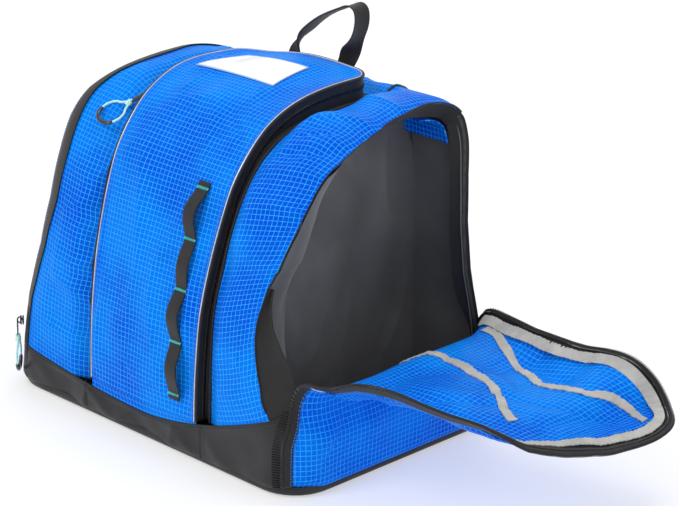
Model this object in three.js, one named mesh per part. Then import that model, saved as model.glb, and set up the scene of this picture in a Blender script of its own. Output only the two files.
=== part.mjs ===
// Ski boot bag, worn as a backpack: a dark base, a helmet compartment behind a front lid,
// and a boot compartment on each side behind a fold-down side flap.
// Millimetres, +Z up. The front faces -Y, the back panel and its straps are at +Y.
// The origin is on the floor, under the middle of the base. The right (+X) flap lies open.
import * as THREE from 'three';

// ---- driving dimensions ----
const FABRIC = 3;              // sewn fabric with its lining
const GAP = 0.6;               // clearance between neighbouring pieces
const TAPE = 1.8;              // zip tape thickness
const LAY = 1.5;               // how far a tape lies off the curved fabric under it
const TOP_LAY = 3.2;           // the same where the side rounds over both ways
const SIDE_FOLD_Z = 120;       // height at which a side flap folds out
const TIP_FOLD_Z = 330;        // height at which the top of a side flap uncurls
const FLAP_OPEN = 95;          // degrees from closed to lying open
const TIP_OPEN = 50;           // degrees that the flap's top uncurls as it opens
const HINGE_X = 263;           // side flap fold line, from the middle
const TIP_HINGE_X = 245;
const LID_BOTTOM_Z = 52;
const LID_CORNER = 26;         // rounding of the lid's two top corners
const DIVIDER_X = 124;
const BACK_BOTTOM_Z = 72;
const HANDLE_Y = 124;
const HANDLE_Z = 411;

// ---- colours ----
const BLUE = [0x0a6cf0, 0.6, 0];
const CHARCOAL = [0x2b2c2f, 0.7, 0];
const BLACK = [0x141416, 0.75, 0];
const GREY = [0x5a5b5e, 0.8, 0];
const PALE_GREY = [0xb9b8b3, 0.8, 0];
const MINT = [0x7fe9df, 0.5, 0];
const METAL = [0x3a3b3d, 0.35, 0.8];
const CLEAR = [0xe8eaee, 0.2, 0];

const bag = new THREE.Group();
const v3 = (x, y, z) => new THREE.Vector3(x, y, z);
const mix = (a, b, t) => a + (b - a) * t;
const smooth = (t) => {
  const c = Math.min(Math.max(t, 0), 1);
  return c * c * (3 - 2 * c);
};

function add(name, geometry, [color, roughness, metalness], parent = bag) {
  const mesh = new THREE.Mesh(geometry, new THREE.MeshStandardMaterial({ color, roughness, metalness }));
  mesh.name = name;
  parent.add(mesh);
  return mesh;
}

// ---- closed solid between two matching grids of points ----
function slab(outer, inner) {
  const rows = outer.length;
  const cols = outer[0].length;
  const points = [...outer.flat(), ...inner.flat()];
  const half = rows * cols;
  const at = (i, j) => i * cols + j;
  const faces = [];
  const quad = (a, b, c, d) => faces.push(a, b, c, a, c, d);
  for (let i = 0; i + 1 < rows; i += 1) {
    for (let j = 0; j + 1 < cols; j += 1) {
      quad(at(i, j), at(i + 1, j), at(i + 1, j + 1), at(i, j + 1));
      quad(half + at(i, j), half + at(i, j + 1), half + at(i + 1, j + 1), half + at(i + 1, j));
    }
    quad(at(i, 0), half + at(i, 0), half + at(i + 1, 0), at(i + 1, 0));
    quad(at(i, cols - 1), at(i + 1, cols - 1), half + at(i + 1, cols - 1), half + at(i, cols - 1));
  }
  for (let j = 0; j + 1 < cols; j += 1) {
    quad(at(0, j), at(0, j + 1), half + at(0, j + 1), half + at(0, j));
    quad(at(rows - 1, j), half + at(rows - 1, j), half + at(rows - 1, j + 1), at(rows - 1, j + 1));
  }
  let volume = 0;
  for (let k = 0; k < faces.length; k += 3) {
    const [a, b, c] = [points[faces[k]], points[faces[k + 1]], points[faces[k + 2]]];
    volume += a.dot(b.clone().cross(c));
  }
  if (volume < 0) faces.reverse();
  const geometry = new THREE.BufferGeometry();
  geometry.setAttribute('position', new THREE.Float32BufferAttribute(points.flatMap((p) => p.toArray()), 3));
  geometry.setIndex(faces);
  return geometry;
}

// a sheet on a surface point(u, w), u and w from 0 to 1, between two offsets along its outward normal
const MIDDLE = v3(0, 0, 200);
function sheet(point, rows, cols, top, bottom) {
  const E = 1e-3;
  const outer = [];
  const inner = [];
  for (let i = 0; i <= rows; i += 1) {
    outer.push([]);
    inner.push([]);
    for (let j = 0; j <= cols; j += 1) {
      const u = i / rows;
      const w = j / cols;
      const p = point(u, w);
      const du = point(Math.min(u + E, 1), w).sub(point(Math.max(u - E, 0), w));
      const dw = point(u, Math.min(w + E, 1)).sub(point(u, Math.max(w - E, 0)));
      const n = du.cross(dw).normalize();
      if (n.dot(p.clone().sub(MIDDLE)) < 0) n.negate();
      outer[i].push(p.clone().addScaledVector(n, top));
      inner[i].push(p.clone().addScaledVector(n, bottom));
    }
  }
  return slab(outer, inner);
}

// a flat strap along a path: across(i) is the direction of its width, face(i) of its thickness
function strap(path, width, thickness, across, face) {
  const side = (k) => path.map((p, i) => [-1, 1].map((s) => p.clone()
    .addScaledVector(across(i), (s * width) / 2).addScaledVector(face(i), (k * thickness) / 2)));
  return slab(side(1), side(-1));
}

// ---- the bag's side view: front, over the top, down the back, as (y, z) ----
const PROFILE = new THREE.SplineCurve([
  [-168, 4], [-174, 14], [-173, 60], [-170, 120], [-163, 190], [-149, 250], [-128, 310],
  [-98, 358], [-70, 382], [-34, 397], [10, 405], [60, 408], [112, 407], [146, 400], [164, 384],
  [172, 355], [174, 300], [176, 200], [177, 60], [176, 14], [170, 4],
].map(([y, z]) => new THREE.Vector2(y, z)));
const PROFILE_STEPS = 400;
const PROFILE_POINTS = PROFILE.getSpacedPoints(PROFILE_STEPS);
const HALF_WIDTHS = [[0, 258], [14, 266], [60, 268], [120, 262], [190, 249], [250, 244], [310, 245],
  [350, 245], [380, 240], [400, 230], [410, 224]];
const EDGE_RADII = [[0, 50], [60, 60], [120, 66], [190, 74], [250, 74], [310, 72], [350, 64], [380, 58], [410, 52]];

function along(table, z) {
  if (z <= table[0][0]) return table[0][1];
  for (let i = 1; i < table.length; i += 1) {
    const [[z0, a0], [z1, a1]] = [table[i - 1], table[i]];
    if (z <= z1) return mix(a0, a1, (z - z0) / (z1 - z0));
  }
  return table[table.length - 1][1];
}

// place on the profile at v from 0 to 1, with its outward normal
function profileAt(v) {
  const f = Math.min(Math.max(v, 0), 1) * PROFILE_STEPS;
  const i = Math.min(Math.floor(f), PROFILE_STEPS - 1);
  const [a, b] = [PROFILE_POINTS[i], PROFILE_POINTS[i + 1]];
  const p = a.clone().lerp(b, f - i);
  const i0 = Math.max(i - 3, 0);
  const i1 = Math.min(i + 4, PROFILE_STEPS);
  const t = PROFILE_POINTS[i1].clone().sub(PROFILE_POINTS[i0]).normalize();
  return { p, n: new THREE.Vector2(-t.y, t.x) };
}

// share of the way along points at which the coordinate key first passes a value, from index start
function shareWhere(points, key, value, start = 0) {
  for (let i = start; i + 1 < points.length; i += 1) {
    const [a, b] = [points[i][key] - value, points[i + 1][key] - value];
    if (a * b <= 0 && a !== b) return (i + a / (a - b)) / (points.length - 1);
  }
  return 1;
}
const frontV = (z) => shareWhere(PROFILE_POINTS, 'y', z);
const backV = (z) => shareWhere(PROFILE_POINTS, 'y', z, PROFILE_STEPS / 2);
const topV = (y) => shareWhere(PROFILE_POINTS, 'x', y, PROFILE_STEPS / 4);

// the outer surface: v along the profile, s across from the middle, rounding over at each side
function shell(v, s, lift = 0) {
  const { p, n } = profileAt(v);
  const hw = along(HALF_WIDTHS, p.y);
  const r = along(EDGE_RADII, p.y);
  const a = Math.abs(s);
  const flat = hw - r;
  let x = a;
  let depth = 0;
  if (a > flat) {
    const turn = Math.min((a - flat) / r, Math.PI / 2);
    x = flat + r * Math.sin(turn);
    depth = r * (1 - Math.cos(turn)) + Math.max(a - flat - (r * Math.PI) / 2, 0);
  }
  return v3(Math.sign(s) * x, p.x + n.x * (lift - depth), p.y + n.y * (lift - depth));
}

// distance across at which the shell reaches x from the middle
function acrossAt(v, x) {
  const z = profileAt(v).p.y;
  const hw = along(HALF_WIDTHS, z);
  const r = along(EDGE_RADII, z);
  const flat = hw - r;
  return x <= flat ? x : flat + r * Math.asin(Math.min((x - flat) / r, 1));
}

// x of a side panel at (y, z): the side is flat and rounds over near the profile,
// where it takes its width and radius from the nearest point of the profile
function sideX(y, z) {
  const far = (p) => Math.hypot(p.x - y, p.y - z);
  const near = PROFILE_POINTS.reduce((a, b) => (far(b) < far(a) ? b : a));
  const inside = smooth(far(near) / along(EDGE_RADII, near.y));
  const height = mix(near.y, z, inside);
  const r = along(EDGE_RADII, height);
  const d = Math.min(far(near), r);
  return along(HALF_WIDTHS, height) - r + Math.sqrt(r * r - (r - d) * (r - d));
}

// ---- where the side zips run, as the x they reach at each height ----
const RIGHT_EDGE = [[0, 238], [60, 236], [120, 240], [150, 214], [190, 196], [220, 195], [250, 201], [280, 207],
  [310, 213], [340, 220], [360, 222], [380, 224], [395, 216], [405, 200], [410, 194]];
const LEFT_EDGE = [[0, 238], [60, 238], [120, 236], [190, 222], [250, 214], [310, 215],
  [340, 220], [360, 222], [380, 224], [395, 216], [405, 200], [410, 194]];
const BACK_EDGE = [[0, 238], [120, 236], [300, 220], [380, 206], [410, 194]];

function edgeAcross(v, side) {
  const front = side > 0 ? RIGHT_EDGE : LEFT_EDGE;
  const { p } = profileAt(v);
  const x = mix(along(front, p.y), along(BACK_EDGE, p.y), smooth((p.x - 40) / 80));
  return acrossAt(v, x);
}

// depth below the profile of the zip line
function edgeDepth(v, side) {
  const z = profileAt(v).p.y;
  const r = along(EDGE_RADII, z);
  const turn = (edgeAcross(v, side) - (along(HALF_WIDTHS, z) - r)) / r;
  return r * (1 - Math.cos(Math.max(turn, 0)));
}

// y of the zip line at height z on the front or the back of a side panel
function edgeY(z, side, back) {
  let best = null;
  for (let i = 0; i <= PROFILE_STEPS; i += 1) {
    const v = i / PROFILE_STEPS;
    const { p, n } = profileAt(v);
    const d = edgeDepth(v, side) + 2 * GAP;
    const [y, h] = [p.x - n.x * d, p.y - n.y * d];
    if ((back ? y > 60 : y <= 60) && (best === null || Math.abs(h - z) < Math.abs(best[1] - z))) best = [y, h];
  }
  return best[0];
}

// ---- base ----
// height of the base's top edge: lowest in the middle, higher at the corners
const baseTop = (x) => 34 + (x > 0 ? 64 : 22) * Math.pow(Math.min(Math.abs(x) / 240, 1), 1.7);

function roundedOutline(halfWidth, front, back, radius) {
  const shape = new THREE.Shape();
  shape.moveTo(-halfWidth + radius, front);
  shape.absarc(halfWidth - radius, front + radius, radius, -Math.PI / 2, 0, false);
  shape.absarc(halfWidth - radius, back - radius, radius, 0, Math.PI / 2, false);
  shape.absarc(-halfWidth + radius, back - radius, radius, Math.PI / 2, Math.PI, false);
  shape.absarc(-halfWidth + radius, front + radius, radius, Math.PI, 1.5 * Math.PI, false);
  return shape;
}

function plate(halfWidth, front, back, radius, bottom, thickness) {
  const geometry = new THREE.ExtrudeGeometry(roundedOutline(halfWidth, front, back, radius),
    { depth: thickness, bevelEnabled: false, curveSegments: 6 });
  return geometry.translate(0, 0, bottom);
}

function makeBase() {
  add('base_floor', plate(254, -164, 166, 48, 0, 4), CHARCOAL);
  add('base_board', plate(232, -146, 148, 40, 4.4, 3), BLACK);
  const v0 = frontV(7);
  add('base_front_wall', sheet((u, w) => {
    const s = mix(-edgeAcross(frontV(50), -1), edgeAcross(frontV(70), 1), w);
    return shell(mix(v0, frontV(baseTop(s) - GAP), u), s);
  }, 3, 20, 0, -FABRIC), CHARCOAL);
  const b0 = backV(7);
  const b1 = backV(BACK_BOTTOM_Z - GAP);
  add('base_back_wall', sheet((u, w) => {
    const v = mix(b0, b1, u);
    return shell(v, mix(edgeAcross(v, 1), -edgeAcross(v, -1), w));
  }, 2, 16, 0, -FABRIC), CHARCOAL);
}

// ---- blue front strips, from the base over the top to the back panel ----
const STRIP_RECESS = 14;       // how far a strip dips where it meets the lid's gusset
const STRIP_GAP = 7;           // from the gusset's outside to the strip
const RECESS_WIDTH = 34;
const lidHalf = (z) => along([[40, 97], [180, 98], [300, 104], [400, 108], [425, 110]], z);
const BACK_TOP_V = backV(388);

function stripPoint(side) {
  const inner = (v) => lidHalf(profileAt(v).p.y) + STRIP_GAP;
  return (u, w) => {
    const start = frontV(baseTop(side * mix(100, edgeAcross(frontV(90), side), w)) + 3);
    const v = mix(start, BACK_TOP_V, u);
    const from = inner(v);
    const s = mix(from, edgeAcross(v, side) - GAP / 2, w);
    const dip = STRIP_RECESS * (1 - smooth((s - from) / RECESS_WIDTH));
    return shell(v, side * s, -dip);
  };
}

function makeStrips() {
  for (const [name, side] of [['front_panel_right', 1], ['front_panel_left', -1]]) {
    add(name, sheet(stripPoint(side), 22, 6, 0, -FABRIC), BLUE);
  }
  const v0 = topV(112);
  add('top_yoke', sheet((u, w) => {
    const v = mix(v0, BACK_TOP_V, u);
    const half = lidHalf(profileAt(v).p.y) + STRIP_GAP - GAP;
    return shell(v, mix(-half, half, w), -STRIP_RECESS * (1 - smooth(u * 2)));
  }, 6, 8, 0, -FABRIC), BLUE);
}

// ---- padded back panel ----
function makeBack() {
  const b0 = backV(BACK_BOTTOM_Z);
  add('back_panel', sheet((u, w) => {
    const v = mix(b0, BACK_TOP_V + 0.004, u);
    return shell(v, mix(edgeAcross(v, 1) - GAP, -edgeAcross(v, -1) + GAP, w));
  }, 8, 12, 0, -7), BLACK);
}

// ---- dividers between the helmet compartment and the boot compartments ----
function makeDividers() {
  const inset = 24;
  const floor = 9;
  const outline = [];
  const steps = 36;
  const v0 = frontV(60);
  const v1 = backV(60);
  for (let i = 0; i <= steps; i += 1) {
    const { p, n } = profileAt(mix(v0, v1, i / steps));
    outline.push(new THREE.Vector2(p.x - n.x * inset, p.y - n.y * inset));
  }
  outline.push(new THREE.Vector2(outline[steps].x, floor));
  outline.unshift(new THREE.Vector2(outline[0].x, floor));
  for (const [name, side] of [['divider_right', 1], ['divider_left', -1]]) {
    const geometry = new THREE.ExtrudeGeometry(new THREE.Shape(outline), { depth: 2, bevelEnabled: false });
    // outline (y, z) is drawn as (x, y) and stood up in the YZ plane
    geometry.applyMatrix4(new THREE.Matrix4().makeBasis(v3(0, 1, 0), v3(0, 0, 1), v3(1, 0, 0)));
    geometry.translate(side * DIVIDER_X - 1, 0, 0);
    add(name, geometry, GREY);
  }
}

// ---- front lid, its gusset and what is sewn on it ----
const LID_PROFILE = new THREE.SplineCurve([
  [-175, LID_BOTTOM_Z], [-172, 110], [-164, 180], [-150, 240], [-130, 300], [-111, 340], [-78, 380],
  [-46, 402], [-8, 415], [40, 421], [104, 422],
].map(([y, z]) => new THREE.Vector2(y, z)));
const LID_POINTS = LID_PROFILE.getSpacedPoints(200);
const LID_LENGTH = LID_PROFILE.getLength();
const LID_CROWN = 5;

function lidPoint(t, x, depth = 0) {
  const f = Math.min(Math.max(t, 0), 1) * 200;
  const i = Math.min(Math.floor(f), 199);
  const p = LID_POINTS[i].clone().lerp(LID_POINTS[i + 1], f - i);
  const dir = LID_POINTS[Math.min(i + 3, 200)].clone().sub(LID_POINTS[Math.max(i - 2, 0)]).normalize();
  const crown = LID_CROWN * (1 - Math.pow(x / lidHalf(p.y), 2));
  const out = crown - depth;
  return v3(x, p.x - dir.y * out, p.y + dir.x * out);
}
const lidZ = (t) => LID_POINTS[Math.round(Math.min(Math.max(t, 0), 1) * 200)].y;
const lidT = (z) => shareWhere(LID_POINTS, 'y', z);

// half width of the lid at t, drawn in round its two top corners
function lidEdge(t) {
  const fromEnd = (1 - t) * LID_LENGTH;
  const half = lidHalf(lidZ(t));
  if (fromEnd >= LID_CORNER) return half;
  const k = LID_CORNER - fromEnd;
  return half - LID_CORNER + Math.sqrt(LID_CORNER * LID_CORNER - k * k);
}

// the U round the lid as (t, x), from the bottom of the right side to the bottom of the left
function lidRim() {
  const rim = [];
  const legSteps = 14;
  const cornerSteps = 3;
  const tCorner = 1 - LID_CORNER / LID_LENGTH;
  for (let i = 0; i < legSteps; i += 1) rim.push([(tCorner * i) / legSteps, lidEdge((tCorner * i) / legSteps)]);
  const half = lidHalf(lidZ(1));
  for (let i = 0; i <= cornerSteps; i += 1) {
    const a = (Math.PI / 2) * (i / cornerSteps);
    rim.push([tCorner + (LID_CORNER * Math.sin(a)) / LID_LENGTH, half - LID_CORNER + LID_CORNER * Math.cos(a)]);
  }
  const left = rim.map(([t, x]) => [t, -x]).reverse();
  return [...rim, [1, half / 3], [1, -half / 3], ...left];
}

function gussetBand(top, bottom, thickness) {
  const rim = lidRim();
  const outer = [];
  const inner = [];
  rim.forEach(([t, x], k) => {
    const a = rim[Math.max(k - 1, 0)];
    const b = rim[Math.min(k + 1, rim.length - 1)];
    const dt = (b[0] - a[0]) * LID_LENGTH;
    const dx = b[1] - a[1];
    const len = Math.hypot(dt, dx);
    // towards the inside of the U, in (t, x)
    const it = ((dx / len) * thickness) / LID_LENGTH;
    const ix = (-dt / len) * thickness;
    outer.push([lidPoint(t, x, top), lidPoint(t, x, bottom)]);
    inner.push([lidPoint(t + it, x + ix, top), lidPoint(t + it, x + ix, bottom)]);
  });
  return slab(outer, inner);
}

const WINDOW = { front: [-92, 42], back: [-80, 16], y: [8, 84] };
const DAISY_X = 64;
const DAISY_MARKS = [79, 143, 205, 263, 320];
const DAISY_WIDTH = 19;
const DAISY_BULGE = 8;

function makeLid() {
  const lid = new THREE.Group();
  bag.add(lid);
  add('front_lid', sheet((u, w) => {
    const t = Math.min(u, 0.9995);
    return lidPoint(t, mix(-1, 1, w) * lidEdge(t));
  }, 26, 6, 0, -FABRIC), BLUE, lid);
  add('lid_gusset', gussetBand(FABRIC + GAP, 12, 2), BLACK, lid);
  add('id_window', sheet((u, w) => {
    const y = mix(WINDOW.y[0], WINDOW.y[1], u);
    const t = shareWhere(LID_POINTS, 'x', y, 50);
    const x = mix(mix(WINDOW.front[0], WINDOW.back[0], u), mix(WINDOW.front[1], WINDOW.back[1], u), w);
    return lidPoint(t, x);
  }, 5, 5, 1.2, 0.4), CLEAR, lid);
  const path = [];
  const steps = 6;
  for (let m = 0; m + 1 < DAISY_MARKS.length; m += 1) {
    for (let i = 0; i < steps; i += 1) {
      const z = mix(DAISY_MARKS[m], DAISY_MARKS[m + 1], i / steps);
      const rise = DAISY_BULGE * Math.pow(Math.sin((Math.PI * i) / steps), 2);
      path.push(lidPoint(lidT(z), DAISY_X, -(rise + 1.6)));
    }
  }
  path.push(lidPoint(lidT(DAISY_MARKS[4]), DAISY_X, -1.6));
  const faceOf = (i) => {
    const d = path[Math.min(i + 1, path.length - 1)].clone().sub(path[Math.max(i - 1, 0)]);
    return d.cross(v3(1, 0, 0)).normalize().negate();
  };
  add('daisy_chain_webbing', strap(path, DAISY_WIDTH, 1.6, () => v3(1, 0, 0), faceOf), BLACK, lid);
  add('gusset_frame', gussetBand(12 + GAP, 23, 2), BLACK);
}

// ---- side panels: lower wall, flap, flap top, zip tapes and seam tapes ----
function sidePanel(side, z0, z1, rows, cols) {
  // rows crowd towards a top row that rounds over
  const height = (u) => mix(z0, z1, z1 > TIP_FOLD_Z ? Math.sin((Math.PI / 2) * u) : u);
  const ends = [];
  for (let i = 0; i <= rows; i += 1) {
    ends.push([edgeY(height(i / rows), side, false), edgeY(height(i / rows), side, true)]);
  }
  const reach = (u, k) => {
    const f = Math.min(u * rows, rows - 1e-6);
    const i = Math.floor(f);
    return mix(ends[i][k], ends[i + 1][k], f - i);
  };
  // columns crowd towards both ends, where the panel rounds over
  const spread = (w) => (1 - Math.cos(Math.PI * w)) / 2;
  return sheet((u, w) => {
    const y = mix(reach(u, 0), reach(u, 1), spread(w));
    const z = height(u);
    return v3(side * sideX(y, z), y, z);
  }, rows, cols, 0, -FABRIC);
}

// a tape along the zip line, from v0 to v1; near and far are distances past the zip line
function zipTape(side, v0, v1, near, far, top, bottom, steps) {
  return sheet((u, w) => {
    const v = mix(v0, v1, u);
    const s = edgeAcross(v, side) + mix(near, far, w);
    return shell(v, side * s);
  }, steps, 2, top, bottom);
}

const ZIP_WIDTH = 13;
const FLAP_TOP_Z = 392;

function hingeGroup(parent, x, z, degrees) {
  const outer = new THREE.Group();
  outer.position.set(x, 0, z);
  outer.rotation.y = THREE.MathUtils.degToRad(degrees);
  const inner = new THREE.Group();
  inner.position.set(-x, 0, -z);
  outer.add(inner);
  parent.add(outer);
  return inner;
}

// a tape across the flap's inside, through points (y, z) of the closed flap
function seamTape(side, points, width, steps) {
  const curve = new THREE.SplineCurve(points.map(([y, z]) => new THREE.Vector2(y, z)));
  return sheet((u, w) => {
    const p = curve.getPointAt(u);
    const t = curve.getTangentAt(u);
    const o = mix(-width / 2, width / 2, w);
    const [y, z] = [p.x - t.y * o, p.y + t.x * o];
    return v3(side * sideX(y, z), y, z);
  }, steps, 2, -FABRIC - LAY, -FABRIC - LAY - 1.2);
}

function makeSide(name, side, open) {
  const foldV = [frontV(SIDE_FOLD_Z + 2), backV(SIDE_FOLD_Z + 2)];
  const tipV = [frontV(TIP_FOLD_Z), backV(TIP_FOLD_Z)];
  const step = 0.0025;
  add(`lower_side_${name}`, sidePanel(side, 8, SIDE_FOLD_Z - 1, 4, 12), BLUE);
  const body = [-ZIP_WIDTH, -GAP, LAY + TAPE, LAY];
  add(`body_zip_tape_${name}`, zipTape(side, frontV(14), backV(14), ...body, 44), BLACK);

  const flap = hingeGroup(bag, side * HINGE_X, SIDE_FOLD_Z, open ? side * FLAP_OPEN : 0);
  const tip = hingeGroup(flap, side * TIP_HINGE_X, TIP_FOLD_Z, open ? side * TIP_OPEN : 0);
  add(`flap_${name}`, sidePanel(side, SIDE_FOLD_Z + 1, TIP_FOLD_Z - 1, 8, 12), BLUE, flap);
  add(`flap_top_${name}`, sidePanel(side, TIP_FOLD_Z + 1, FLAP_TOP_Z, 6, 12), BLUE, tip);
  const front = [foldV[0], tipV[0] - step];
  const rear = [tipV[1] + step, foldV[1]];
  const lie = [GAP + 1, ZIP_WIDTH, LAY + TAPE, LAY];
  add(`flap_zip_front_${name}`, zipTape(side, ...front, ...lie, 14), BLACK, flap);
  add(`flap_zip_rear_${name}`, zipTape(side, ...rear, ...lie, 12), BLACK, flap);
  const over = [GAP + 1, ZIP_WIDTH, TOP_LAY + TAPE, TOP_LAY];
  add(`flap_zip_top_${name}`, zipTape(side, tipV[0] + step, tipV[1] - step, ...over, 20), BLACK, tip);
  const hem = [3, 15, -FABRIC - LAY, -FABRIC - LAY - 1.2];
  add(`flap_binding_${name}`, zipTape(side, ...rear, ...hem, 10), PALE_GREY, flap);
  makeSeamTapes(name, side, flap);
}

// ---- seam tapes across the inside of a flap, as (y, z) of the closed flap ----
const MIDDLE_SEAM = [[48, 124], [62, 155], [60, 187], [48, 215], [22, 245], [-25, 278], [-82, 298]];
const REAR_SEAM = [[122, 124], [126, 144], [122, 166], [112, 190], [104, 210], [102, 232], [105, 256],
  [112, 282], [122, 305], [130, 324]];
const SEAM_WIDTH = 11;

function makeSeamTapes(name, side, flap) {
  add(`seam_tape_middle_${name}`, seamTape(side, MIDDLE_SEAM, SEAM_WIDTH, 10), PALE_GREY, flap);
  add(`seam_tape_rear_${name}`, seamTape(side, REAR_SEAM, SEAM_WIDTH, 10), PALE_GREY, flap);
}

// ---- zip sliders, their tabs and the cord loops that hang from them ----
const SLIDER = [9, 13, 4.6];
const TAB = [6, 20, 1.6];
const PIVOT_OUT = 3.4;         // from the slider's face to the middle of its pull
const CORD_RADIUS = 1.5;
const LOOP_RADIUS = 18;
const LOOP_NECK = 9;           // from the tab's end to the start of the round part
const SLEEVE = { inner: 1.85, outer: 2.5, from: 0.32, to: 0.68 };

const circle = (radius, sides) => Array.from({ length: sides }, (_, k) => {
  const a = (2 * Math.PI * k) / sides;
  return new THREE.Vector2(radius * Math.cos(a), radius * Math.sin(a));
});

// the loop hangs along -Y from the tab's end, in the local XY plane
function loopCurve() {
  const neckHalf = 2.2;
  const centre = -(LOOP_NECK + LOOP_RADIUS);
  const open = 0.42;           // half the angle that the neck leaves open, in radians
  const points = [v3(neckHalf, 0, 0), v3(neckHalf + 0.4, -LOOP_NECK / 3, 0)];
  const turns = 14;
  for (let i = 0; i <= turns; i += 1) {
    const a = Math.PI / 2 - open - ((2 * Math.PI - 2 * open) * i) / turns;
    points.push(v3(LOOP_RADIUS * Math.cos(a), centre + LOOP_RADIUS * Math.sin(a), 0));
  }
  points.push(v3(-neckHalf - 0.4, -LOOP_NECK / 3, 0), v3(-neckHalf, 0, 0));
  return new THREE.CatmullRomCurve3(points, false, 'centripetal');
}

class PartOfCurve extends THREE.Curve {
  constructor(curve, from, to) {
    super();
    Object.assign(this, { curve, from, to });
  }

  getPoint(t) {
    return this.curve.getPointAt(mix(this.from, this.to, t));
  }
}

// slider at a point on the zip; up is the zip's direction, out is away from the bag,
// and the pull hangs from it along down, with its flat side towards facing
function makePull(name, at, up, out, down, facing) {
  const across = up.clone().cross(out).normalize();
  const slider = new THREE.BoxGeometry(...SLIDER);
  slider.applyMatrix4(new THREE.Matrix4().makeBasis(across, up, out));
  slider.translate(...at.clone().addScaledVector(out, SLIDER[2] / 2).toArray());
  add(`slider_${name}`, slider, METAL);

  const pivot = at.clone().addScaledVector(out, SLIDER[2] + PIVOT_OUT);
  const side = facing.clone().cross(down).normalize();
  const face = down.clone().cross(side).normalize();
  const pull = new THREE.Group();
  pull.matrixAutoUpdate = false;
  pull.matrix.makeBasis(side, down.clone().negate(), face);
  pull.matrix.setPosition(pivot);
  bag.add(pull);
  const tab = new THREE.BoxGeometry(...TAB).translate(0, -TAB[1] / 2, 0);
  add(`pull_tab_${name}`, tab, METAL, pull);
  const drop = -(TAB[1] + 0.4);
  const loop = loopCurve();
  const cord = new THREE.ExtrudeGeometry(new THREE.Shape(circle(CORD_RADIUS, 8)),
    { steps: 24, extrudePath: loop, bevelEnabled: false });
  add(`pull_cord_${name}`, cord.translate(0, drop, 0), MINT, pull);
  const ring = new THREE.Shape(circle(SLEEVE.outer, 8));
  ring.holes.push(new THREE.Path(circle(SLEEVE.inner, 8)));
  const sleeve = new THREE.ExtrudeGeometry(ring,
    { steps: 9, extrudePath: new PartOfCurve(loop, SLEEVE.from, SLEEVE.to), bevelEnabled: false });
  add(`pull_sleeve_${name}`, sleeve.translate(0, drop, 0), BLACK, pull);
}

const SIDE_SLIDER_Z = 84;

function makePulls() {
  const lidAt = lidT(392);
  const low = lidPoint(lidAt - 0.02, -lidEdge(lidAt), 12);
  const high = lidPoint(lidAt + 0.02, -lidEdge(lidAt), 12);
  const lidUp = high.clone().sub(low).normalize();
  const at = lidPoint(lidAt, -lidEdge(lidAt) - 0.6, 11);
  makePull('front', at, lidUp, v3(-1, 0, 0), v3(-0.45, -0.82, -0.36).normalize(), v3(0, -0.68, 0.73));
  for (const [name, side, v] of [['left', -1, frontV(SIDE_SLIDER_Z)], ['right', 1, backV(SIDE_SLIDER_Z)]]) {
    const s = side * edgeAcross(v, side);
    const on = shell(v, s);
    const out = shell(v, s, 10).sub(on).setZ(0).normalize().add(v3(side, 0, 0)).normalize();
    makePull(name, on.addScaledVector(out, LAY + TAPE + 2), v3(0, 0, 1), out, v3(0, 0, -1), out);
  }
}

// ---- grab handle: a webbing loop that twists between its sewn feet and its top ----
const HANDLE_PATH = [[-47, 0], [-44, 16], [-28, 38], [4, 60], [40, 77], [60, 84], [71, 76], [72, 52], [60, 24], [51, 0]];
const HANDLE_WIDTH = 24;

function makeHandle() {
  const curve = new THREE.CatmullRomCurve3(HANDLE_PATH.map(([x, z]) => v3(x, HANDLE_Y, HANDLE_Z + z)));
  const steps = 22;
  const path = curve.getPoints(steps);
  const tangent = (i) => curve.getTangent(i / steps);
  // the width lies along X at the feet and along Y over the top
  const twist = (i) => smooth(i / 5) * smooth((steps - i) / 5);
  const across = (i) => {
    const t = tangent(i);
    const flat = v3(t.z, 0, -t.x).normalize();
    return flat.multiplyScalar(1 - twist(i)).addScaledVector(v3(0, 1, 0), twist(i)).normalize();
  };
  const face = (i) => across(i).cross(tangent(i)).normalize();
  add('grab_handle', strap(path, HANDLE_WIDTH, 2, across, face), BLACK);
}

// ---- shoulder straps: each bows out from the back and swings about the line of its two ends ----
const STRAP_TOP = { x: 62, z: 366 };
const STRAP_BOTTOM = { x: 128, z: 96 };
const STRAP_Y = 187;
const STRAP_BOW = 34;
const PAD_END = 0.64;
const WEBBING_WIDTH = 20;

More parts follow.
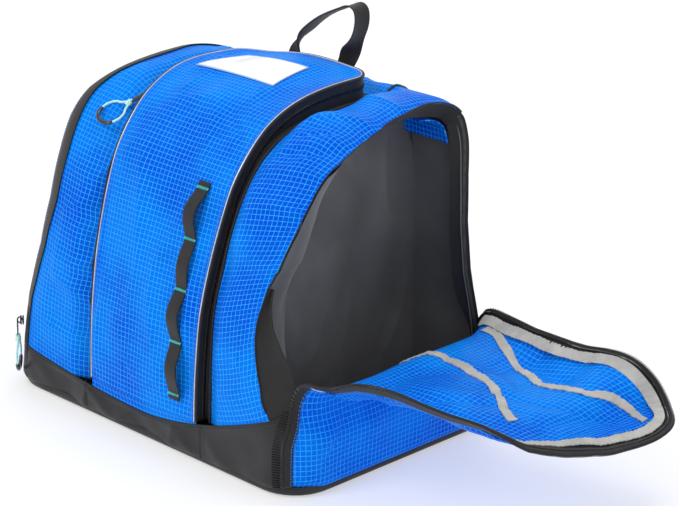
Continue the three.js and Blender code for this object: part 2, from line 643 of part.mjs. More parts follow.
function makeStraps() {
  for (const [name, side] of [['right', 1], ['left', -1]]) {
    const on = (q) => v3(side * mix(STRAP_TOP.x, STRAP_BOTTOM.x, q),
      STRAP_Y + STRAP_BOW * Math.pow(Math.sin(Math.PI * q), 0.9), mix(STRAP_TOP.z, STRAP_BOTTOM.z, q));
    const length = v3(side * (STRAP_BOTTOM.x - STRAP_TOP.x), 0, STRAP_BOTTOM.z - STRAP_TOP.z).normalize();
    const across = v3(-length.z, 0, length.x);
    const face = (q) => across.clone().cross(on(Math.min(q + 0.01, 1)).sub(on(Math.max(q - 0.01, 0)))).normalize();
    const padSteps = 12;
    const padWidth = (q) => mix(26, 62, smooth(q / 0.22)) * mix(1, 0.72, smooth((q - 0.4) / 0.24));
    const padQ = (i) => mix(0.03, PAD_END, i / padSteps);
    const padSide = (k) => Array.from({ length: padSteps + 1 }, (_, i) => [-1, 0, 1].map((c) => on(padQ(i))
      .addScaledVector(across, (c * padWidth(padQ(i))) / 2)
      .addScaledVector(face(padQ(i)), k * (c === 0 ? 5.5 : 3))));
    add(`strap_pad_${name}`, slab(padSide(1), padSide(-1)), BLACK);

    const webFrom = 0.765;
    const webSteps = 7;
    const webPath = Array.from({ length: webSteps + 1 }, (_, i) => on(mix(webFrom, 0.975, i / webSteps)));
    const webFace = (i) => face(mix(webFrom, 0.975, i / webSteps));
    add(`strap_webbing_${name}`, strap(webPath, WEBBING_WIDTH, TAPE, () => across, webFace), BLACK);

    const lock = new THREE.Shape([[-16, -13], [16, -13], [16, 13], [-16, 13]].map(([x, y]) => new THREE.Vector2(x, y)));
    for (const y of [-6.5, 6.5]) {
      const slot = [[-11, y - 2.5], [-11, y + 2.5], [11, y + 2.5], [11, y - 2.5]];
      lock.holes.push(new THREE.Path(slot.map(([x, h]) => new THREE.Vector2(x, h))));
    }
    const plateOf = new THREE.ExtrudeGeometry(lock, { depth: 3, bevelEnabled: false }).translate(0, 0, -1.5);
    const q = 0.702;
    const out = face(q);
    plateOf.applyMatrix4(new THREE.Matrix4().makeBasis(across, out.clone().cross(across), out));
    add(`ladder_lock_${name}`, plateOf.translate(...on(q).toArray()), BLACK);

    const tabTop = new THREE.BoxGeometry(34, 3, 22).translate(side * STRAP_TOP.x, STRAP_Y, STRAP_TOP.z + 12);
    add(`strap_anchor_top_${name}`, tabTop, BLACK);
    const tabLow = new THREE.BoxGeometry(30, 3, 20).translate(side * STRAP_BOTTOM.x, STRAP_Y - 1, STRAP_BOTTOM.z - 11);
    add(`strap_anchor_bottom_${name}`, tabLow, BLACK);
  }
}

makeBase();
makeStrips();
makeBack();
makeDividers();
makeLid();
makeSide('right', 1, true);
makeSide('left', -1, false);
makePulls();
makeHandle();
makeStraps();

export default bag;
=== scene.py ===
import math

import bpy
import numpy as np
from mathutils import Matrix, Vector


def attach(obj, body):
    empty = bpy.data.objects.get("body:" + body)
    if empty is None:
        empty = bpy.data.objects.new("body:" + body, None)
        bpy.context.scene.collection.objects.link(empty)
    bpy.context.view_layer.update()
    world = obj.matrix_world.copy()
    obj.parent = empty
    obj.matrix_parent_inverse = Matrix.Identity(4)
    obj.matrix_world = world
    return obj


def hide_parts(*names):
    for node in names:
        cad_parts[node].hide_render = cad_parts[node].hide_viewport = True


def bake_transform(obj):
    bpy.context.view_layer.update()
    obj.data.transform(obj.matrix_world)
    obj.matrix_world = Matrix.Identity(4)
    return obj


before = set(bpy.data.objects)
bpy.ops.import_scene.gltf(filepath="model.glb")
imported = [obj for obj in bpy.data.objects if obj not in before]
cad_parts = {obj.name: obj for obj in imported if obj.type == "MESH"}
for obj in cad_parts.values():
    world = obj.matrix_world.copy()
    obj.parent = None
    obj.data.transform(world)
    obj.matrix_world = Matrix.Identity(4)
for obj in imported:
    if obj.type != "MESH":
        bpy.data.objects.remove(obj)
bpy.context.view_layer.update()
MM = 0.001

# ---- driving dimensions, in millimetres, the same as the CAD's ----
FABRIC = 1.6                  # thickness of the sewn fabric as it shows
FLAP_OPEN = 95                # degrees from closed to lying open
TIP_OPEN = 50                 # degrees that a flap's top uncurls as it opens
FOLD = (263, 120)             # side flap fold line, as (x, z)
TIP_FOLD = (245, 330)
CUT_Z = 225                   # a side's fabric is sewn across here, out of reach of both folds
FLAP_TOP_Z = 392
BACK_BOTTOM_Z = 72
DIVIDER_X = 124
HANDLE_Y = 124
HANDLE_Z = 411
ZIP_WIDTH = 13
TOOTH_PITCH = 2.1
LID_BACK_Y = 112              # where the lid's top ends at the back
SIDES = {"right": 1, "left": -1}


# ---- curves ----
def smooth(t):
    c = np.clip(t, 0, 1)
    return c * c * (3 - 2 * c)


def mix(a, b, t):
    return a + (b - a) * t


def table(rows, x):
    keys, values = zip(*rows)
    return np.interp(x, keys, values)


def stack(*parts):
    return np.stack(np.broadcast_arrays(*[np.asarray(p, float) for p in parts]), axis=-1)


def unit(v):
    return v / np.maximum(np.linalg.norm(v, axis=-1, keepdims=True), 1e-9)


def run_along(points):
    """Distance along a path at each of its points."""
    return np.concatenate([[0], np.cumsum(np.linalg.norm(np.diff(points, axis=0), axis=1))])


def sample(want, run, values):
    """Rows of values read off at the wanted places of a run."""
    return np.stack([np.interp(want, run, column) for column in values.T], axis=1)


def spaced(knots, count):
    """Points spaced evenly along a Catmull-Rom curve through the knots, and its length."""
    k = np.array(knots, float)
    p = np.vstack([k[:1], k, k[-1:]])
    t = np.linspace(0, 1, 60, endpoint=False)[:, None]
    out = []
    for i in range(len(k) - 1):
        a, b, c, d = p[i:i + 4]
        v0, v1 = (c - a) / 2, (d - b) / 2
        out.append((2 * b - 2 * c + v0 + v1) * t ** 3 + (3 * c - 3 * b - 2 * v0 - v1) * t ** 2 + v0 * t + b)
    out = np.vstack([*out, k[-1:]])
    run = run_along(out)
    return sample(np.linspace(0, run[-1], count + 1), run, out), run[-1]


def resample(points, pitch, closed=False):
    p = np.vstack([points, points[:1]]) if closed else np.asarray(points, float)
    run = run_along(p)
    n = max(int(round(run[-1] / pitch)), 2)
    return sample(np.linspace(0, run[-1], n, endpoint=not closed), run, p)


def directions(curve, ahead, behind):
    """Unit direction of a curve at each of its points."""
    i = np.arange(len(curve))
    return unit(curve[np.minimum(i + ahead, len(curve) - 1)] - curve[np.maximum(i - behind, 0)])


def read_curve(at, *curves):
    """Both columns of each curve at places from 0 to 1 along it."""
    i = np.arange(len(curves[0]))
    f = np.clip(at, 0, 1) * i[-1]
    return [np.interp(f, i, curve[:, k]) for curve in curves for k in (0, 1)]


# ---- the bag's side view: front, over the top, down the back, as (y, z) ----
STEPS = 400
PROFILE, _ = spaced([
    (-168, 4), (-174, 14), (-173, 60), (-170, 120), (-163, 190), (-149, 250), (-128, 310), (-98, 358),
    (-70, 382), (-34, 397), (10, 405), (60, 408), (112, 407), (146, 400), (164, 384), (172, 355),
    (174, 300), (176, 200), (177, 60), (176, 14), (170, 4)], STEPS)
PROFILE_N = directions(PROFILE, 4, 3)[:, ::-1] * [-1, 1]
APEX = int(np.argmax(PROFILE[:, 1]))
# by height: half the width, the rounding of the upright edges, and how far out each line lies
HALF_WIDTHS = [(0, 258), (14, 266), (60, 268), (120, 262), (190, 249), (250, 244), (310, 245), (350, 245),
               (380, 240), (400, 230), (410, 224)]
EDGE_RADII = [(0, 50), (60, 60), (120, 66), (190, 74), (250, 74), (310, 72), (350, 64), (380, 58), (410, 52)]
RIGHT_EDGE = [(0, 238), (60, 236), (115, 243), (135, 240), (155, 232), (175, 220), (195, 209), (215, 203),
              (235, 201), (253, 202.5), (280, 207.5), (307, 213), (345, 218), (384, 220), (395, 217),
              (402, 213), (405.7, 209), (407.6, 203)]
STRIP_EDGE = [(0, 238), (70, 232), (96, 216), (110, 208), (125, 205), (139, 200), (154, 196), (168, 193),
              (182, 190.8), (197, 190.5), (211, 192), (225, 194.5), (239, 196.5), (260, 202.5)]
LEFT_EDGE = [(0, 238), (60, 238), (120, 232), (190, 212), (250, 203), (310, 204), (340, 208), (360, 210),
             (380, 211), (395, 207), (405, 198), (410, 194)]
BACK_EDGE = [(0, 238), (120, 236), (300, 220), (380, 206), (410, 194)]


def profile_at(v):
    """(y, z, normal y, normal z) at v from 0 to 1 along the profile."""
    return read_curve(v, PROFILE, PROFILE_N)


def front_v(z):
    return np.interp(z, PROFILE[:APEX, 1], np.arange(APEX) / STEPS)


def back_v(z):
    return np.interp(z, PROFILE[APEX:, 1][::-1], np.arange(APEX, STEPS + 1)[::-1] / STEPS)


def top_v(y):
    first = STEPS // 4
    last = int(np.argmax(PROFILE[:, 0]))
    return np.interp(y, PROFILE[first:last, 0], np.arange(first, last) / STEPS)


BACK_TOP_V = back_v(388)
LID_BACK_V = top_v(LID_BACK_Y)


def from_profile(y, z):
    """Distances of (y, z) from every point of the profile."""
    return np.hypot(PROFILE[:, 0] - np.asarray(y)[..., None], PROFILE[:, 1] - np.asarray(z)[..., None])


def shell(v, s, lift=0.0):
    """The bag's outer surface: v along the profile, s across from the middle, rounding over at each side."""
    y, z, ny, nz = profile_at(v)
    hw, r = table(HALF_WIDTHS, z), table(EDGE_RADII, z)
    a, flat = np.abs(s), hw - r
    turn = np.clip((a - flat) / r, 0, math.pi / 2)
    x = np.where(a > flat, flat + r * np.sin(turn), a)
    depth = np.where(a > flat, r * (1 - np.cos(turn)) + np.maximum(a - flat - r * math.pi / 2, 0), 0)
    return stack(np.sign(s) * x, y + ny * (lift - depth), z + nz * (lift - depth))


def shell_n(v, s):
    """Outward unit normal of the shell, away from its flat middle as well."""
    n = unit(np.cross(shell(v + 0.002, s) - shell(v - 0.002, s), shell(v, s + 1.5) - shell(v, s - 1.5)))
    up = shell(v, s, 1) - shell(v, s)
    side = np.sum(n * up, axis=-1, keepdims=True)
    return n * np.where(side < 0, -1, 1)


def on_shell(v, s, lift):
    """Path on the shell with its outward direction."""
    n = shell_n(v, s)
    return shell(v, s) + n * lift, n


def across_at(v, x):
    """How far across the shell the place x from the middle is."""
    z = profile_at(v)[1]
    r = table(EDGE_RADII, z)
    flat = table(HALF_WIDTHS, z) - r
    return np.where(x <= flat, x, flat + r * np.arcsin(np.clip((x - flat) / r, 0, 1)))


def side_x(y, z):
    """x of a side panel at (y, z): flat, rounding over near the profile."""
    y, z = np.asarray(y, float), np.asarray(z, float)
    d = from_profile(y, z)
    far, near_z = d.min(-1), PROFILE[d.argmin(-1), 1]
    height = mix(near_z, z, smooth(far / table(EDGE_RADII, near_z)))
    r = table(EDGE_RADII, height)
    deep = np.minimum(far, r)
    return table(HALF_WIDTHS, height) - r + np.sqrt(np.maximum(r * r - (r - deep) ** 2, 0))


def edge_across(v, side):
    """How far across the zip line of a side is."""
    y, z = profile_at(v)[:2]
    front = table(RIGHT_EDGE if side > 0 else LEFT_EDGE, z)
    return across_at(v, mix(front, table(BACK_EDGE, z), smooth((y - 40) / 80)))


def strip_across(v, side):
    """How far the fabric beside the lid reaches: at the open side's foot it stops short of the zip line."""
    y, z = profile_at(v)[:2]
    whole = edge_across(v, side)
    if side < 0:
        return whole
    return np.where((z < 259) & (y < 0), np.minimum(across_at(v, table(STRIP_EDGE, z)), whole), whole)


def edge_ys(side, back):
    """Heights and y of the zip line at the front or the back of a side."""
    v = np.arange(STEPS + 1) / STEPS
    y, z, ny, nz = profile_at(v)
    r = table(EDGE_RADII, z)
    turn = np.maximum((edge_across(v, side) - (table(HALF_WIDTHS, z) - r)) / r, 0)
    d = r * (1 - np.cos(turn)) + 0.6
    keep = y > 60 if back else y <= 60
    h, e = (z - nz * d)[keep], (y - ny * d)[keep]
    order = np.argsort(h)
    return h[order], e[order]


EDGE_YS = {(side, back): edge_ys(side, back) for side in (1, -1) for back in (False, True)}


def edge_y(z, side, back):
    return np.interp(z, *EDGE_YS[side, back])


def base_top(x):
    """Height of the base's top edge, which rises towards both sides."""
    return 34 + np.where(x > 0, 64, 22) * np.minimum(np.abs(x) / 240, 1) ** 1.7


# ---- the lid ----
LID_STEPS = 200
LID, LID_LENGTH = spaced([
    (-175, 52), (-172, 110), (-164, 180), (-150, 240), (-130, 300), (-111, 340), (-78, 380), (-46, 402),
    (-8, 415), (40, 421), (104, 422)], LID_STEPS)
LID_DIR = directions(LID, 3, 2)
LID_CORNER = 26
LID_CROWN = 5
STRIP_RECESS = 14
STRIP_GAP = 7
RECESS_WIDTH = 34


def lid_half(z):
    return table([(40, 97), (180, 98), (300, 104), (400, 108), (425, 110)], z)


def lid_at(t):
    """(y, z, direction y, direction z) at t from 0 to 1 up the lid."""
    return read_curve(t, LID, LID_DIR)


def lid_point(t, x, depth=0.0):
    y, z, dy, dz = lid_at(t)
    out = LID_CROWN * (1 - (x / lid_half(z)) ** 2) - depth
    past = np.maximum(np.asarray(t, float) - 1, 0) * LID_LENGTH
    return stack(x, y + past - dz * out, z + dy * out)


def lid_t(z):
    return np.interp(z, LID[:, 1], np.arange(LID_STEPS + 1) / LID_STEPS)


def lid_edge(t):
    end = (1 - np.asarray(t, float)) * LID_LENGTH
    k = np.clip(LID_CORNER - end, 0, LID_CORNER)
    return lid_half(lid_at(t)[1]) - LID_CORNER + np.sqrt(LID_CORNER ** 2 - k * k)


def lid_rim():
    """The U round the lid as rows of (t, x), from the bottom of the right side to the bottom of the left."""
    corner_t = 1 - LID_CORNER / LID_LENGTH
    t = np.linspace(0, corner_t, 90, endpoint=False)
    half = lid_half(LID[-1, 1]) - LID_CORNER
    a = np.linspace(0, math.pi / 2, 12, endpoint=False)
    corner = np.stack([corner_t + LID_CORNER * np.sin(a) / LID_LENGTH, half + LID_CORNER * np.cos(a)], axis=1)
    x = np.linspace(half, -half, 24)
    right = np.vstack([np.stack([t, lid_edge(t)], axis=1), corner])
    return np.vstack([right, np.stack([np.ones_like(x), x], axis=1), (right * [1, -1])[::-1]])


def rim_out(rim):
    """Unit step out of the U in (t, x), at each place on the rim."""
    d = unit(np.gradient(rim * [LID_LENGTH, 1], axis=0))
    return np.stack([-d[:, 1] / LID_LENGTH, d[:, 0]], axis=1)


# ---- relief: the small shapes of soft fabric ----
def waves(p, size, seed, stretch=(1, 1, 1)):
    """Smooth noise of about -1 to 1 with features of the given size."""
    rng = np.random.RandomState(seed)
    q = p / (size * np.array(stretch, float))
    total = 0
    count = 14
    for _ in range(count):
        d = unit(rng.normal(size=3))
        total = total + np.sin((q @ d) * rng.uniform(3.5, 10) + rng.uniform(0, 2 * math.pi))
    return total / math.sqrt(count)


def creases(p, size, seed, stretch=(1, 1, 1)):
    """Soft ground with narrower folded ridges, from about -1 to 1."""
    a = np.abs(waves(p, size, seed, stretch))
    return 1 - 2 * np.minimum(a, 1) ** 0.6


def folded(relief, p, folds):
    """Relief with folds laid over it, each from a to b and fading out at both ends."""
    for a, b, width, height in folds:
        a, b = np.array(a, float), np.array(b, float)
        d = b - a
        t = np.clip(((p - a) @ d) / (d @ d), 0, 1)
        far = np.linalg.norm(p - (a + t[..., None] * d), axis=-1)
        fade = 0.25 + 0.75 * np.sin(math.pi * np.clip(t, 0.02, 0.98))
        relief = relief + height * np.exp(-(far / width) ** 2) * fade
    return relief


def inside(u, w, edge=0.12):
    """1 away from a sheet's borders, fading to 0 at them."""
    return smooth(u / edge) * smooth((1 - u) / edge) * smooth(w / edge) * smooth((1 - w) / edge)


# ---- meshes ----
CENTRE = np.array([0, 0, 200.0])
ORIGIN = np.zeros(3)
SHARP = 38                    # degrees between faces that meet in a hard edge


def uw(rows, cols):
    return np.meshgrid(np.linspace(0, 1, rows + 1), np.linspace(0, 1, cols + 1), indexing="ij")


def normals(p, centre=CENTRE):
    n = unit(np.cross(np.gradient(p, axis=0), np.gradient(p, axis=1)))
    return n if np.sum(n * (p - centre)) > 0 else -n


def lengths(p):
    """Distances over the fabric in metres, for patterns that keep their size."""
    along = np.linalg.norm(np.diff(p, axis=0), axis=-1)
    over = np.linalg.norm(np.diff(p, axis=1), axis=-1)
    u = np.vstack([np.zeros((1, p.shape[1])), np.cumsum(along, axis=0)])
    w = np.hstack([np.zeros((p.shape[0], 1)), np.cumsum(over, axis=1)])
    u = np.broadcast_to(u.mean(1, keepdims=True), u.shape)
    w = w - w[:, [p.shape[1] // 2]]
    return np.stack([w, u], axis=-1) * MM


def grid_quads(rows, cols, wrap=False):
    i, j = np.meshgrid(np.arange(rows - 1), np.arange(cols if wrap else cols - 1), indexing="ij")
    k = (j + 1) % cols
    quads = np.stack([i * cols + j, (i + 1) * cols + j, (i + 1) * cols + k, i * cols + k], axis=-1)
    return quads.reshape(-1, 4)


def rim_quads(rows, cols, half):
    """Faces joining two grids round their borders."""
    i, j = np.arange(rows - 1) * cols, np.arange(cols - 1)
    last, end = cols - 1, (rows - 1) * cols
    sides = [(i, half + i, half + i + cols, i + cols),
             (i + last, i + cols + last, half + i + cols + last, half + i + last),
             (j, j + 1, half + j + 1, half + j),
             (end + j, half + end + j, half + end + j + 1, end + j + 1)]
    return np.vstack([np.stack(side, axis=1) for side in sides])


def fan(ring, middle, back=False):
    """Faces from a ring of points to the point in its middle."""
    after = np.roll(ring, -1)
    a, b = (after, ring) if back else (ring, after)
    c = np.full(len(ring), middle)
    return np.stack([a, b, c, c], axis=1)


def slumped(p):
    """The soft top settles towards the left and the back, where nothing is packed under it."""
    x, y, z = p[..., 0], p[..., 1], p[..., 2]
    corner = 19.0 * smooth((30 - x) / 220) * smooth((y - 60) / 130)
    middle = 8.0 * np.exp(-((x + 80) / 60) ** 2) * smooth((y + 20) / 110)
    fall = (corner + middle) * smooth((z - 310) / 90)
    return p - np.stack([0 * x, 0 * x, fall], axis=-1)


def volume(points, quads):
    a, b, c, d = (points[quads[:, k]] for k in range(4))
    return float(np.sum(a * np.cross(b, c)) + np.sum(a * np.cross(c, d)))


# the finish that each material belongs to
SLOTS = {"blue": "ripstop_blue", "blue_thread": "ripstop_blue", "tarp": "tarpaulin_charcoal",
         "webbing": "webbing_black", "tape": "webbing_black", "coil": "webbing_black",
         "dark_thread": "webbing_black", "pale": "binding_pale", "piping": "binding_pale",
         "mesh": "mesh_black", "lining": "lining_grey", "cord": "cord_mint", "teal": "cord_mint",
         "sleeve": "sleeve_black", "metal": "slider_metal", "plastic": "plastic_black",
         "film": "window_clear"}


def link_object(name, data):
    piece = bpy.data.objects.new(name, data)
    bpy.context.scene.collection.objects.link(piece)
    return piece


def finish(piece, key, *nodes, body="bag_body", slot=None):
    """Rides a piece on a body and lets it stand for CAD nodes."""
    slot or SLOTS[key]
    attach(piece, body)
    if nodes:
        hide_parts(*nodes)
    return piece


class Shape:
    """Closed solids gathered into one mesh, in millimetres."""

    def __init__(self):
        self.points, self.quads, self.uvs, self.count = [], [], [], 0

    def put(self, points, quads, uvs=None):
        if volume(points, quads) < 0:
            quads = quads[:, ::-1]
        self.points.append(points)
        self.quads.append(quads + self.count)
        self.uvs.append(np.zeros((len(points), 2)) if uvs is None else uvs)
        self.count += len(points)
        return self

    def slab(self, outer, inner, uvs=None):
        """A thin solid between two grids of points."""
        rows, cols = outer.shape[:2]
        half = rows * cols
        top = grid_quads(rows, cols)
        quads = np.vstack([top, top[:, ::-1] + half, rim_quads(rows, cols, half)])
        flat = (lengths(outer) if uvs is None else uvs).reshape(-1, 2)
        points = np.vstack([outer.reshape(-1, 3), inner.reshape(-1, 3)])
        return self.put(points, quads, np.vstack([flat, flat]))

    def sheet(self, p, top=0.0, bottom=-FABRIC, relief=None, centre=CENTRE):
        n = normals(p, centre)
        uvs = lengths(p)
        if relief is not None:
            p = p + n * relief[..., None]
            n = normals(p, centre)
        return self.slab(p + n * top, p + n * bottom, uvs)

    def tube(self, path, radius, sides=8, up=(0, 0, 1), squash=1.0):
        """A round bar along a path, closed at both ends."""
        path = np.asarray(path, float)
        t = unit(np.gradient(path, axis=0))
        a = unit(np.cross(t, np.broadcast_to(up, t.shape)))
        b = np.cross(a, t)
        turn = np.arange(sides) * 2 * math.pi / sides
        radius = np.broadcast_to(radius, len(path))[:, None, None]
        ring = np.cos(turn)[None, :, None] * a[:, None] + np.sin(turn)[None, :, None] * b[:, None] * squash
        flat = np.vstack([(path[:, None] + ring * radius).reshape(-1, 3), path[:1], path[-1:]])
        rows, j = len(path), np.arange(sides)
        ends = rows * sides
        quads = np.vstack([grid_quads(rows, sides, wrap=True), fan(j, ends),
                           fan(ends - sides + j, ends + 1, back=True)])
        run = run_along(path) * MM
        uvs = stack(turn[None] * 0.5 * MM, run[:, None]).reshape(-1, 2)
        return self.put(flat, quads, np.vstack([uvs, [[0, 0], [0, run[-1]]]]))

    def bars(self, places, along, across, face, size):
        """A small rounded bar at each place: size is (length along, width across, height)."""
        ring = [(-1, -0.55, 0), (-0.6, -1, 0), (0.6, -1, 0), (1, -0.55, 0), (1, 0.55, 0), (0.6, 1, 0),
                (-0.6, 1, 0), (-1, 0.55, 0)]
        low = np.array(ring) * [1, 1, 0]
        high = low * [0.7, 0.75, 0] + [0, 0, 1]
        local = np.vstack([low, high, [[0, 0, 1.12]], [[0, 0, 0]]]) * (np.array(size) * [0.5, 0.5, 1])
        n = len(ring)
        j = np.arange(n)
        k = (j + 1) % n
        quads = np.vstack([np.stack([j, k, n + k, n + j], axis=1), fan(n + j, 2 * n),
                           fan(j, 2 * n + 1, back=True)])
        for p, a, b, f in zip(places, along, across, face):
            self.put(p + local @ np.stack([a, b, f]), quads)
        return self

    def teeth(self, line, ends, width, height, along=1.35, square=True):
        """Zip teeth along a line; ends is the direction out of the fabric at each of its points."""
        path = resample(line, TOOTH_PITCH)
        f = unit(sample(np.linspace(0, 1, len(path)), np.linspace(0, 1, len(ends)), ends))
        a = unit(np.gradient(path, axis=0))
        b = np.cross(f, a)
        return self.bars(path, a, unit(b) if square else b, f, (along, width, height))

    def stitches(self, path, face, pitch=3.4, width=0.75):
        """Short raised stitches along a path; face is the direction out of the fabric at each point."""
        path = np.asarray(path, float)
        run = run_along(path)
        want = np.arange(pitch / 2, run[-1], pitch)
        p = sample(want, run, path)
        a = unit(np.gradient(p, axis=0))
        b = np.cross(unit(sample(want, run, face)), a)
        return self.bars(p, a, b, np.cross(a, b), (2.4, width, 0.5))

    def mesh(self, name, key, place=None):
        points = slumped(np.vstack(self.points))
        if place is not None:
            points = place(points)
        uvs = np.vstack(self.uvs)
        faces = [list(dict.fromkeys(q)) for q in np.vstack(self.quads).tolist()]
        mesh = bpy.data.meshes.new(name)
        mesh.from_pydata((points * MM).tolist(), [], faces)
        layer = mesh.uv_layers.new(name="UVMap")
        index = np.zeros(len(mesh.loops), np.int32)
        mesh.loops.foreach_get("vertex_index", index)
        layer.data.foreach_set("uv", uvs[index].astype(np.float32).ravel())
        mesh.shade_smooth()
        mesh.set_sharp_from_angle(angle=math.radians(SHARP))
        mesh.materials.append(M[key])
        mesh.update()
        return link_object(name, mesh)

    def piece(self, name, key, *nodes, body="bag_body", slot=None):
        return finish(self.mesh(name, key), key, *nodes, body=body, slot=slot)


# ---- the two folds of a side flap ----
BENDS = {"low": {"right": ((240, 0, 88), (285, 0, 146)), "left": ((-262, 0, 102), (-262, 0, 138))},
         "up": {"right": ((430, 0, 123), (568, 20, 111)), "left": ((-245, 0, 312), (-245, 0, 348))}}


def turned(p, pivot, degrees):
    a = np.radians(degrees)
    dx, dz = p[..., 0] - pivot[0], p[..., 2] - pivot[1]
    x = pivot[0] + dx * np.cos(a) + dz * np.sin(a)
    return stack(x, p[..., 1], pivot[1] - dx * np.sin(a) + dz * np.cos(a))


def settled(p, move, start, end):
    start, d = np.array(start, float), np.array(end, float) - np.array(start, float)
    low, high = np.zeros(p.shape[:-1]), np.ones(p.shape[:-1])
    for _ in range(22):
        w = (low + high) / 2
        more = smooth(((move(p, w) - start) @ d) / (d @ d)) > w
        low, high = np.where(more, w, low), np.where(more, high, w)
    return move(p, (low + high) / 2)


def fold_low(p, w):
    return turned(p, FOLD, FLAP_OPEN * w)


def fold_up(p, w):
    return fold_low(turned(p, TIP_FOLD, TIP_OPEN * w), 1)


def flap_piece(shape, part, name, key, side_name, *nodes):
    """A piece of a flap: part low crosses the main fold, part up the second one. The right flap lies open."""
    line = BENDS[part][side_name]
    move = fold_low if part == "low" else fold_up
    place = None if side_name == "left" else lambda p: settled(p, move, *line)
    piece = shape.mesh(name, key, place)
    start, end = [tuple(c * MM for c in point) for point in line]
    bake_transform(piece)
    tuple(start)
    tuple(end)
    if nodes:
        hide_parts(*nodes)


def flap_pair(low, up, name, key, side_name, low_nodes=(), up_nodes=()):
    flap_piece(low, "low", f"{name}_low_{side_name}", key, side_name, *low_nodes)
    flap_piece(up, "up", f"{name}_up_{side_name}", key, side_name, *up_nodes)


# ---- materials ----
class Graph:
    """Short ways to build a material's nodes."""

    def __init__(self, name, color, roughness, metallic=0.0, **settings):
        self.material = bpy.data.materials.new(name)
        self.material.use_nodes = True
        self.tree = self.material.node_tree
        self.shader = self.tree.nodes["Principled BSDF"]
        self.set("Base Color", (*color, 1))
        self.set("Roughness", roughness)
        self.set("Metallic", metallic)
        for key, value in settings.items():
            self.set(key.replace("_", " ").title().replace("Ior", "IOR"), value)

    def set(self, socket, value):
        self.shader.inputs[socket].default_value = value

    def to(self, socket, value):
        self.tree.links.new(value, self.shader.inputs[socket])

    def node(self, kind, values=(), **settings):
        """A node with its first sockets linked to, or set to, the values."""
        n = self.tree.nodes.new(kind)
        for key, value in settings.items():
            setattr(n, key, value)
        for value, socket in zip(values, n.inputs):
            if isinstance(value, bpy.types.NodeSocket):
                self.tree.links.new(value, socket)
            else:
                socket.default_value = value
        return n

    def math(self, operation, a, b=0.0):
        return self.node("ShaderNodeMath", (a, b), operation=operation).outputs[0]

    def ramp(self, value, low, high, to_low=0.0, to_high=1.0):
        values = (value, low, high, to_low, to_high)
        return self.node("ShaderNodeMapRange", values, interpolation_type="SMOOTHSTEP").outputs[0]

    def mix(self, share, a, b):
        n = self.node("ShaderNodeMix", (share,), data_type="RGBA")
        for value, socket in ((a, n.inputs[6]), (b, n.inputs[7])):
            if isinstance(value, tuple):
                socket.default_value = (*value, 1)
            else:
                self.tree.links.new(value, socket)
        return n.outputs[2]

    def uv(self):
        n = self.node("ShaderNodeSeparateXYZ", (self.node("ShaderNodeUVMap", uv_map="UVMap").outputs[0],))
        return n.outputs[0], n.outputs[1]

    def noise(self, scale, detail=2.0, roughness=0.5):
        n = self.node("ShaderNodeTexNoise")
        self.tree.links.new(self.node("ShaderNodeTexCoord").outputs["Object"], n.inputs["Vector"])
        for socket, value in (("Scale", scale), ("Detail", detail), ("Roughness", roughness)):
            n.inputs[socket].default_value = value
        return n.outputs["Fac"]

    def lines(self, coordinate, pitch, width):
        """1 on thin lines every pitch metres, 0 between them."""
        f = self.math("FRACT", self.math("DIVIDE", coordinate, pitch))
        d = self.math("ABSOLUTE", self.math("SUBTRACT", f, 0.5))
        half = width / pitch / 2
        return self.ramp(d, half * 0.6, half * 1.4, 1.0, 0.0)

    def wave(self, coordinate, pitch):
        return self.math("SINE", self.math("MULTIPLY", coordinate, 2 * math.pi / pitch))

    def weave(self, pitch):
        u, v = self.uv()
        return self.math("MULTIPLY", self.wave(u, pitch), self.wave(v, pitch))

    def bump(self, height, strength, distance):
        """Raises the surface, on top of what was raised before."""
        n = self.node("ShaderNodeBump")
        n.inputs["Strength"].default_value = strength
        n.inputs["Distance"].default_value = distance
        self.tree.links.new(height, n.inputs["Height"])
        previous = self.shader.inputs["Normal"].links
        if previous:
            self.tree.links.new(previous[0].from_socket, n.inputs["Normal"])
        self.to("Normal", n.outputs[0])

    def mottle(self, noise, low, high, a, b):
        """Colour that changes softly between a and b."""
        self.to("Base Color", self.mix(self.ramp(self.noise(*noise), low, high), a, b))

    def gloss(self, noise, low, high, smoothest, roughest):
        self.to("Roughness", self.ramp(self.noise(*noise), low, high, smoothest, roughest))


def ripstop(name, base, deep, thread):
    g = Graph(name, base, 0.45, specular_ior_level=0.04)
    u, v = g.uv()
    cell, line = 0.0062, 0.0008
    grid = g.math("MAXIMUM", g.lines(u, cell, line), g.lines(v, cell, line))
    broken = g.math("MULTIPLY", grid, g.ramp(g.noise(260, 1), 0.25, 0.6, 0.5, 0.95))
    # painted light and shade: soft noise mixes the shaded blue (deep) with the lit blue (base), standing in
    # for lit and shadowed folds
    painted_light_and_shade = g.ramp(g.noise(8, 3), 0.36, 0.64)
    g.to("Base Color", g.mix(broken, g.mix(painted_light_and_shade, deep, base), thread))
    g.bump(g.noise(42, 4, 0.62), 0.42, 0.0032)
    g.bump(g.noise(11, 3, 0.6), 0.3, 0.012)
    g.bump(grid, 0.5, 0.0003)
    g.bump(g.weave(0.0006), 0.25, 0.00012)
    g.gloss((18, 3), 0.3, 0.7, 0.36, 0.5)
    return g.material


def tarpaulin():
    g = Graph("tarpaulin_charcoal", (0.022, 0.022, 0.024), 0.42, specular_ior_level=0.32, coat_weight=0.05,
              coat_roughness=0.4)
    g.mottle((9, 4, 0.6), 0.35, 0.7, (0.011, 0.011, 0.013), (0.024, 0.024, 0.027))
    g.gloss((28, 4), 0.3, 0.75, 0.34, 0.52)
    g.bump(g.noise(900, 2), 0.22, 0.0003)
    g.bump(g.noise(30, 3), 0.18, 0.003)
    g.bump(g.weave(0.0011), 0.12, 0.0001)
    return g.material


